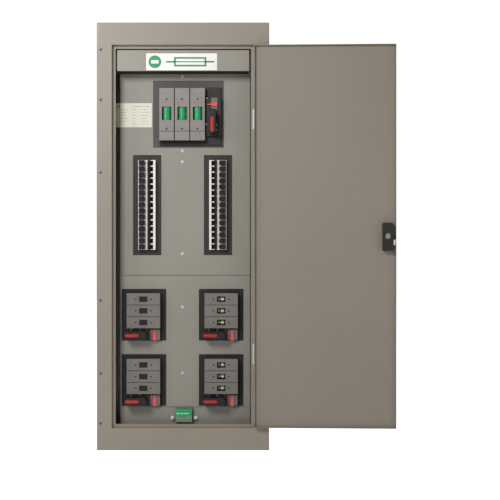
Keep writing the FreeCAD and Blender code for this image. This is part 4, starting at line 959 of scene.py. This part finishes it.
class PANELBOARD_OT_fuses(bpy.types.Operator):
    """Cartridge fuses with painted barrels and end caps"""

    bl_idname = "panelboard.fuses"
    bl_label = "Fuses"
    bl_options = {"REGISTER", "UNDO"}

    def execute(self, context):
        finishes = palette()
        colours = bpy.context.scene.panelboard_colours
        green = tuple(colours.green)
        barrel = finish("Fuse barrel", shade(green, 0.95), (0.22, 0.32), change=0.10, patch=60.0, grain=500.0,
                        depth=0.02, coat=0.35)
        axis_d = 52.0
        bm = bmesh.new()
        for name in POLES:
            low, high = span("main_cover_" + name)
            x, z = (low.x + high.x) / 2, low.z + MAIN_WINDOW_UP
            self.fuse(bm, at(x, axis_d + 1.0, z), (0, 0, 1), *MAIN_FUSE)
        piece("main_fuses", bm, [barrel, finishes["bright"]], "panel",
              replaces=["cartridge_fuses"])
        white, deep = linear(232, 232, 214), linear(50, 62, 44)
        bm = bmesh.new()
        for name in ("upper_right", "lower_right"):
            low, high = span("branch_cover_" + name)
            x = (low.x + high.x) / 2
            pitch = (high.z - low.z) / 3
            for n in range(3):
                self.fuse(bm, at(x, axis_d, low.z + (n + 0.5) * pitch), (1, 0, 0), *BRANCH_FUSE)
        low, high = span("branch_cover_upper_right")
        x = (low.x + high.x) / 2
        bands = [("X", (x - 1.0) * MM, (x + 7.5) * MM, white), ("X", (x + 7.5) * MM, (x + 9.5) * MM, green),
                 ("X", (x - 10.0) * MM, (x - 4.0) * MM, linear(126, 130, 104))]
        label = finish("Branch fuse barrel", deep, (0.2, 0.3), change=0.12, patch=80.0, grain=500.0,
                       depth=0.02, coat=0.35, bands=bands)
        piece("branch_fuses", bm, [label, finishes["bright"]], "panel")
        return {"FINISHED"}

    def fuse(self, bm, centre, axis, radius, long):
        cap = long * 0.12
        start = Vector(centre) - Vector(axis) * long / 2
        body = [(cap * 0.8, radius * 0.9), (cap, radius - 0.25),
                (long - cap, radius - 0.25), (long - cap * 0.8, radius * 0.9)]
        add_turning(bm, start, axis, body, 40)
        for a, b in ((0.0, cap), (long, long - cap)):
            step = 1 if b > a else -1
            end = [(a, 0), (a, radius * 0.8), (a + step * 0.6, radius * 0.95), (a + step * 1.4, radius),
                   (b - step * 0.6, radius), (b, radius * 0.93), (b, 0)]
            add_turning(bm, start, axis, end, 40, 1)


def carriers_of(side):
    """Number, lowest and highest corner of each three-pole carrier on a strip."""
    return [(n, *span("%s_carrier_%d" % (side, n))) for n in GROUPS]


POLE_PITCH = 18.05
POLES_PER_STRIP = 15
CARRIER_PLATE = (47.0, 49.5)    # depths of its front and back
STEM_HALF = 5.5


class PANELBOARD_OT_fuse_carriers(bpy.types.Operator):
    """The pull-out fuse carriers of both strips: a light plate with three black finger grips"""

    bl_idname = "panelboard.fuse_carriers"
    bl_label = "Fuse Carriers"
    bl_options = {"REGISTER", "UNDO"}

    def execute(self, context):
        finishes = palette()
        for side in SIDES:
            inward = 1 if side == "left" else -1
            for n, low, high in carriers_of(side):
                self.build(side, n, low, high, inward, finishes)
        return {"FINISHED"}

    def build(self, side, n, low, high, inward, finishes):
        node = "%s_carrier_%d" % (side, n)
        x, z = (low.x + high.x) / 2, (low.z + high.z) / 2
        front, back = low.y - FRONT, high.y - FRONT
        plate_front, plate_back = CARRIER_PLATE
        half = (high.x - low.x) / 2
        bm = bmesh.new()
        add_plate(bm, rounded(x - half, x + half, low.z, high.z, 0.8), plate_front, plate_back)
        for k in (-1, 0, 1):
            pole_z = z + k * POLE_PITCH
            add_plate(bm, about(x, pole_z, STEM_HALF, STEM_HALF, 1.0), plate_back - 0.5, back)
        piece(node + "_plate", bm, [finishes["plate"]], node, 0.0003, 1, [node])
        bm = bmesh.new()
        for k in (-1, 0, 1):
            self.grip(bm, x, z + k * POLE_PITCH, front, plate_front, inward)
        piece(node + "_grips", bm, [finishes["knob"], finishes["painted_shade"]], node, 0.0006, 2)

    def grip(self, bm, x, z, front, back, inward):
        """A finger grip: a raised rim, rounder at its inner end, round a sunk face of painted shade with a
        cross bar.
        """
        outer = self.rim(x, z, 9.5, 7.5, 4.6, 1.4, inward)
        inner = self.rim(x, z, 7.5, 5.6, 3.2, 0.8, inward)
        add_plate(bm, outer, front, back + 0.2, [inner])
        add_plate(bm, inner, front + 3.6, back + 0.2, material=1)
        add_plate(bm, about(x, z, 1.5, 5.3), front + 0.8, back + 0.2)

    def rim(self, x, z, half_x, half_z, inner_r, outer_r, inward):
        steps = 4
        outline = []
        for sx, sz, r in ((1, -1, inner_r), (1, 1, inner_r), (-1, 1, outer_r), (-1, -1, outer_r)):
            start = {(1, -1): -90, (1, 1): 0, (-1, 1): 90, (-1, -1): 180}[(sx, sz)]
            for n in range(steps + 1):
                a = math.radians(start + 90 * n / steps)
                px = sx * (half_x - r) + r * math.cos(a)
                outline.append((x + inward * px, z + sz * (half_z - r) + r * math.sin(a)))
        return outline if inward > 0 else outline[::-1]


TOGGLE_PIVOT_D, TOGGLE_PIVOT_IN, TOGGLE_LEAN = 56.0, 37.0, 28.0
LEVER_SECTION = ((-2.4, -3.0), (-2.5, 5.0), (-1.9, 15.0), (-1.0, 16.0),
                 (1.0, 16.0), (1.9, 15.0), (2.5, 5.0), (2.4, -3.0))
TIE_SECTION = ((-1.7, 12.4), (-1.7, 15.4), (1.7, 15.4), (1.7, 12.4))
LEVER_HALF, TIE_PAST = 6.2, 6.0


class PANELBOARD_OT_toggles(bpy.types.Operator):
    """The tied toggle levers of both strips and the painted shade in their channels"""

    bl_idname = "panelboard.toggles"
    bl_label = "Toggles"
    bl_options = {"REGISTER", "UNDO"}

    def execute(self, context):
        finishes = palette()
        for side in SIDES:
            low_body, high_body = span(side + "_strip_bodies")
            inward = 1 if side == "left" else -1
            outer_x = low_body.x if inward > 0 else high_body.x
            pivot_x = outer_x + inward * TOGGLE_PIVOT_IN
            for n in GROUPS:
                node = "%s_toggle_%d" % (side, n)
                low, high = span(node)
                z = (low.z + high.z) / 2
                bm = bmesh.new()
                for k in (-1, 0, 1):
                    pole_z = z + k * POLE_PITCH
                    self.lever(bm, LEVER_SECTION, pole_z - LEVER_HALF, pole_z + LEVER_HALF)
                self.lever(bm, TIE_SECTION, z - POLE_PITCH - TIE_PAST, z + POLE_PITCH + TIE_PAST)
                turn = Matrix.Rotation(math.radians(-inward * TOGGLE_LEAN), 4, "Z")
                place = Matrix.Translation(point(pivot_x, TOGGLE_PIVOT_D, 0)) @ turn
                bmesh.ops.transform(bm, matrix=place, verts=bm.verts)
                piece(node + "_levers", bm, [finishes["knob"]], node, 0.0005, 2, [node])
            self.shade_strips(side, outer_x, inward, low_body.z, high_body.z, finishes)
        return {"FINISHED"}

    def lever(self, bm, profile, z0, z1):
        """A bar along Z whose section is (across, forward), about the pivot."""
        rings = [[bm.verts.new(Vector((a, -f, z)) * MM) for a, f in profile] for z in (z0, z1)]
        count = len(profile)
        for n in range(count):
            m = (n + 1) % count
            bm.faces.new((rings[0][n], rings[0][m], rings[1][m], rings[1][n]))
        bm.faces.new(rings[0])
        bm.faces.new(rings[1])

    def shade_strips(self, side, outer_x, inward, z0, z1, finishes):
        """Black strips of painted shade over the ribs beside the levers, and behind them on the channel's
        floor.
        """
        pitch = (z1 - z0) / POLES_PER_STRIP
        bm = bmesh.new()
        xs = sorted((outer_x + inward * 28.6, outer_x + inward * 37.5))
        add_plate(bm, rounded(xs[0], xs[1], z0 + 0.3, z1 - 0.3), 49.3, 50.0)
        floor = sorted((outer_x + inward * 28.6, outer_x + inward * 45.4))
        for n in range(POLES_PER_STRIP):
            z = z0 + (n + 0.5) * pitch
            add_plate(bm, rounded(floor[0], floor[1], z - 6.9, z + 6.9), 60.4, 61.0)
            wall = sorted((outer_x + inward * 45.1, outer_x + inward * 45.5))
            add_plate(bm, rounded(wall[0], wall[1], z - 6.9, z + 6.9), 50.2, 61.0)
        piece(side + "_channel_shade_strips", bm, [finishes["painted_shade"]], "panel")


class PANELBOARD_OT_surge_protector(bpy.types.Operator):
    """Bands, status windows and blank print patches on the surge protector"""

    bl_idname = "panelboard.surge_protector"
    bl_label = "Surge Protector"
    bl_options = {"REGISTER", "UNDO"}

    def execute(self, context):
        finishes = palette()
        low, high = span("surge_cartridges")
        front = low.y - FRONT
        band = finish("Surge band", linear(140, 139, 130), (0.4, 0.5), change=0.06, patch=40.0, depth=0.03)
        deep = finish("Surge foot", linear(10, 96, 58), (0.4, 0.5), change=0.06, patch=40.0, depth=0.03)
        ink = finish("Surge print", linear(176, 224, 196), (0.4, 0.5), change=0.05, patch=90.0)
        bm = bmesh.new()
        step = (high.x - low.x + 3.0) / 3
        add_plate(bm, rounded(low.x + 0.4, high.x - 0.4, high.z - 22.0, high.z - 0.6, 0.8), front - 0.5,
                  front + 0.4, material=3)
        add_plate(bm, rounded(low.x + 0.4, high.x - 0.4, high.z - 38.5, high.z - 22.5, 0.6), front - 0.7,
                  front + 0.3)
        for n in range(3):
            x0 = low.x + n * step
            x1 = x0 + step - 3.0
            add_plate(bm, rounded(x0 + 0.3, x1 - 0.3, high.z - 41.7, high.z - 38.7), front - 0.4,
                      front + 0.3, material=1)
            window = rounded((x0 + x1) / 2 - 2.6, (x0 + x1) / 2 + 2.6, high.z - 31.5, high.z - 28.0, 0.6)
            add_plate(bm, window, front - 0.9, front - 0.5, material=3)
        for x0, x1, z0, z1 in ((4.0, 9.0, 10.5, 16.5), (11.5, 40.0, 11.5, 15.0)):
            patch = rounded(low.x + x0, low.x + x1, high.z - z1, high.z - z0, 0.8)
            add_plate(bm, patch, front - 0.62, front - 0.3, material=2)
        piece("surge_bands", bm, [band, deep, ink, finishes["green"]], "panel", 0.0003)
        low, high = span("surge_base")
        bm = bmesh.new()
        for n in range(3):
            x = low.x + (n + 0.5) * (high.x - low.x) / 3
            front = low.y - FRONT
            add_plate(bm, circle(x, low.z + 9.0, 4.2, 28), front - 0.5, front + 0.2,
                      [circle(x, low.z + 9.0, 3.2, 28)])
            add_screw(bm, x, front + 0.2, low.z + 9.0, 2.8, 0.9, n * TURN_STEP)
        piece("surge_terminals", bm, [finishes["zinc"], finishes["painted_shade"]], "panel")
        return {"FINISHED"}


class PANELBOARD_OT_shade_plates(bpy.types.Operator):
    """Near-black plates of painted shade: under the header, round the main switch's poles and behind the
    lowest seam
    """

    bl_idname = "panelboard.gaskets"
    bl_label = "Shade Plates"
    bl_options = {"REGISTER", "UNDO"}

    def execute(self, context):
        finishes = palette()
        bm = bmesh.new()
        low, high = span("header_plate")
        header = low.y - FRONT
        add_plate(bm, rounded(low.x + 2.0, high.x - 2.0, low.z - 0.4, low.z - 0.05), header + 1.0,
                  SHEET_DEPTH - 0.3)
        left, right = span("main_cover_left")[0].x, span("main_cover_right")[1].x
        base = span("main_switch_base")
        cover_top = span("main_cover_left")[1].z
        face = 56.0
        add_plate(bm, rounded(left - 1.0, right + 1.0, cover_top + 0.2, base[1].z - 0.2), face - 0.5, face)
        add_plate(bm, rounded(left - 1.0, right + 1.0, base[0].z + 0.2, span("main_cover_left")[0].z - 28.4),
                  face - 0.5, face)
        seam = (span("deadfront_lower")[0].z + span("deadfront_base")[1].z) / 2
        add_plate(bm, rounded(-176.0, 186.0, seam - 2.0, seam + 2.0), SHEET_DEPTH + 1.7, SHEET_DEPTH + 2.1)
        piece("shade_plates", bm, [finishes["painted_shade"]], "panel")
        return {"FINISHED"}


class PANELBOARD_OT_bar_screws(bpy.types.Operator):
    """Terminal screws along the neutral and ground bars"""

    bl_idname = "panelboard.bar_screws"
    bl_label = "Bar Screws"
    bl_options = {"REGISTER", "UNDO"}

    def execute(self, context):
        finishes = palette()
        bm = bmesh.new()
        for node in ("neutral_bar", "ground_bar"):
            low, high = span(node)
            count, pitch = 16, 15.0
            first = (low.z + high.z) / 2 - (count - 1) * pitch / 2
            x, front = (low.x + high.x) / 2, low.y - FRONT
            for n in range(count):
                add_screw(bm, x, front, first + n * pitch, 4.2, 1.8, n * TURN_STEP)
        piece("terminal_screws", bm, [finishes["zinc"], finishes["painted_shade"]], "panel")
        return {"FINISHED"}


CAMERA_PLACE = (0.199, -3.148, -0.0403)
CAMERA_LENS = 72.80
WORLD_LIGHT, WORLD_SEEN = 0.18, 1.05
FLOOR_LIGHT, FLOOR_SEEN = 0.15, 1.0


class PANELBOARD_OT_stage(bpy.types.Operator):
    """A pale floor, soft studio light and the camera"""

    bl_idname = "panelboard.stage"
    bl_label = "Stage"
    bl_options = {"REGISTER", "UNDO"}

    def execute(self, context):
        scene = bpy.context.scene
        scene.view_settings.view_transform = "Standard"
        self.floor()
        self.world(scene)
        self.area("Key light", (-0.95, -2.35, 1.25), (0.05, 0.0, -0.1), 0.8, 41.0, (1.0, 0.99, 0.985))
        self.area("Side light", (-0.95, -0.62, 0.62), (-0.24, -0.15, 0.42), 0.3, 2.6, (1.0, 0.98, 0.985))
        self.area("Back light", (-1.6, 3.2, 1.4), (0.2, 0.0, 0.0), 1.6, 60.0, (1.0, 0.99, 0.98))
        self.area("Fill light", (2.4, -2.6, 0.2), (0.3, 0.0, -0.2), 2.2, 12.0, (1.0, 0.95, 0.87))
        lens = bpy.data.cameras.new("Camera")
        lens.lens = CAMERA_LENS
        lens.sensor_width = 36.0
        camera = bpy.data.objects.new("Camera", lens)
        camera.location = CAMERA_PLACE
        camera.rotation_euler = (math.radians(90), 0, 0)
        scene.collection.objects.link(camera)
        scene.camera = camera
        return {"FINISHED"}

    def floor(self):
        low = CAD_BOX[0]
        bm = bmesh.new()
        bmesh.ops.create_grid(bm, x_segments=8, y_segments=8, size=9.0)
        mesh = bpy.data.meshes.new("floor")
        bm.to_mesh(mesh)
        bm.free()
        floor = bpy.data.objects.new("floor", mesh)
        floor.location = (0.2, 0.0, low.z - 0.001)
        material = finish("Pale floor", (0.9, 0.9, 0.9), (0.6, 0.7), change=0.01, patch=1.0, depth=0.01)
        tree = material.node_tree
        shader = tree.nodes["Principled BSDF"]
        shader.inputs["Emission Color"].default_value = (1, 1, 1, 1)
        path = tree.nodes.new("ShaderNodeLightPath")
        strength = ramp(tree, path.outputs["Is Camera Ray"], 0.0, 1.0, FLOOR_LIGHT, FLOOR_SEEN)
        tree.links.new(strength, shader.inputs["Emission Strength"])
        mesh.materials.append(material)
        bpy.context.scene.collection.objects.link(floor)

    def world(self, scene):
        """White all round, and dimmer for lighting than for the eye."""
        world = bpy.data.worlds.new("Studio")
        world.use_nodes = True
        tree = world.node_tree
        back = tree.nodes["Background"]
        back.inputs["Color"].default_value = (1, 1, 1, 1)
        path = tree.nodes.new("ShaderNodeLightPath")
        strength = ramp(tree, path.outputs["Is Camera Ray"], 0.0, 1.0, WORLD_LIGHT, WORLD_SEEN)
        tree.links.new(strength, back.inputs["Strength"])
        scene.world = world

    def area(self, name, place, target, size, power, tone):
        light = bpy.data.lights.new(name, "AREA")
        light.shape = "SQUARE"
        light.size = size
        light.energy = power
        light.color = tone
        lamp = bpy.data.objects.new(name, light)
        lamp.location = place
        lamp.rotation_euler = (Vector(target) - Vector(place)).to_track_quat("-Z", "Y").to_euler()
        bpy.context.scene.collection.objects.link(lamp)


OPERATORS = (
    PANELBOARD_OT_frame_finishes,
    PANELBOARD_OT_screws,
    PANELBOARD_OT_name_plate,
    PANELBOARD_OT_directory_card,
    PANELBOARD_OT_handles,
    PANELBOARD_OT_switch_plates,
    PANELBOARD_OT_cover_details,
    PANELBOARD_OT_fuses,
    PANELBOARD_OT_fuse_carriers,
    PANELBOARD_OT_toggles,
    PANELBOARD_OT_surge_protector,
    PANELBOARD_OT_shade_plates,
    PANELBOARD_OT_bar_screws,
    PANELBOARD_OT_stage,
)


class PANELBOARD_PT_tools(bpy.types.Panel):
    """Lists the panelboard's settings and pieces"""

    bl_idname = "PANELBOARD_PT_tools"
    bl_label = "Panelboard"
    bl_space_type = "VIEW_3D"
    bl_region_type = "UI"
    bl_category = "Panelboard"

    def draw(self, context):
        for settings in (context.scene.panelboard_colours, context.scene.panelboard_sizes):
            box = self.layout.box()
            for name in settings.__annotations__:
                box.prop(settings, name)
        for operator in OPERATORS:
            self.layout.operator(operator.bl_idname)


CLASSES = (PanelboardColours, PanelboardSizes) + OPERATORS + (PANELBOARD_PT_tools,)


def register():
    for cls in CLASSES:
        bpy.utils.register_class(cls)
    bpy.types.Scene.panelboard_colours = PointerProperty(type=PanelboardColours)
    bpy.types.Scene.panelboard_sizes = PointerProperty(type=PanelboardSizes)


def unregister():
    del bpy.types.Scene.panelboard_sizes
    del bpy.types.Scene.panelboard_colours
    for cls in reversed(CLASSES):
        bpy.utils.unregister_class(cls)


def main():
    """Builds everything in order."""
    register()
    for operator in OPERATORS:
        area, name = operator.bl_idname.split(".")
        getattr(getattr(bpy.ops, area), name)()


if __name__ == "__main__":
    main()
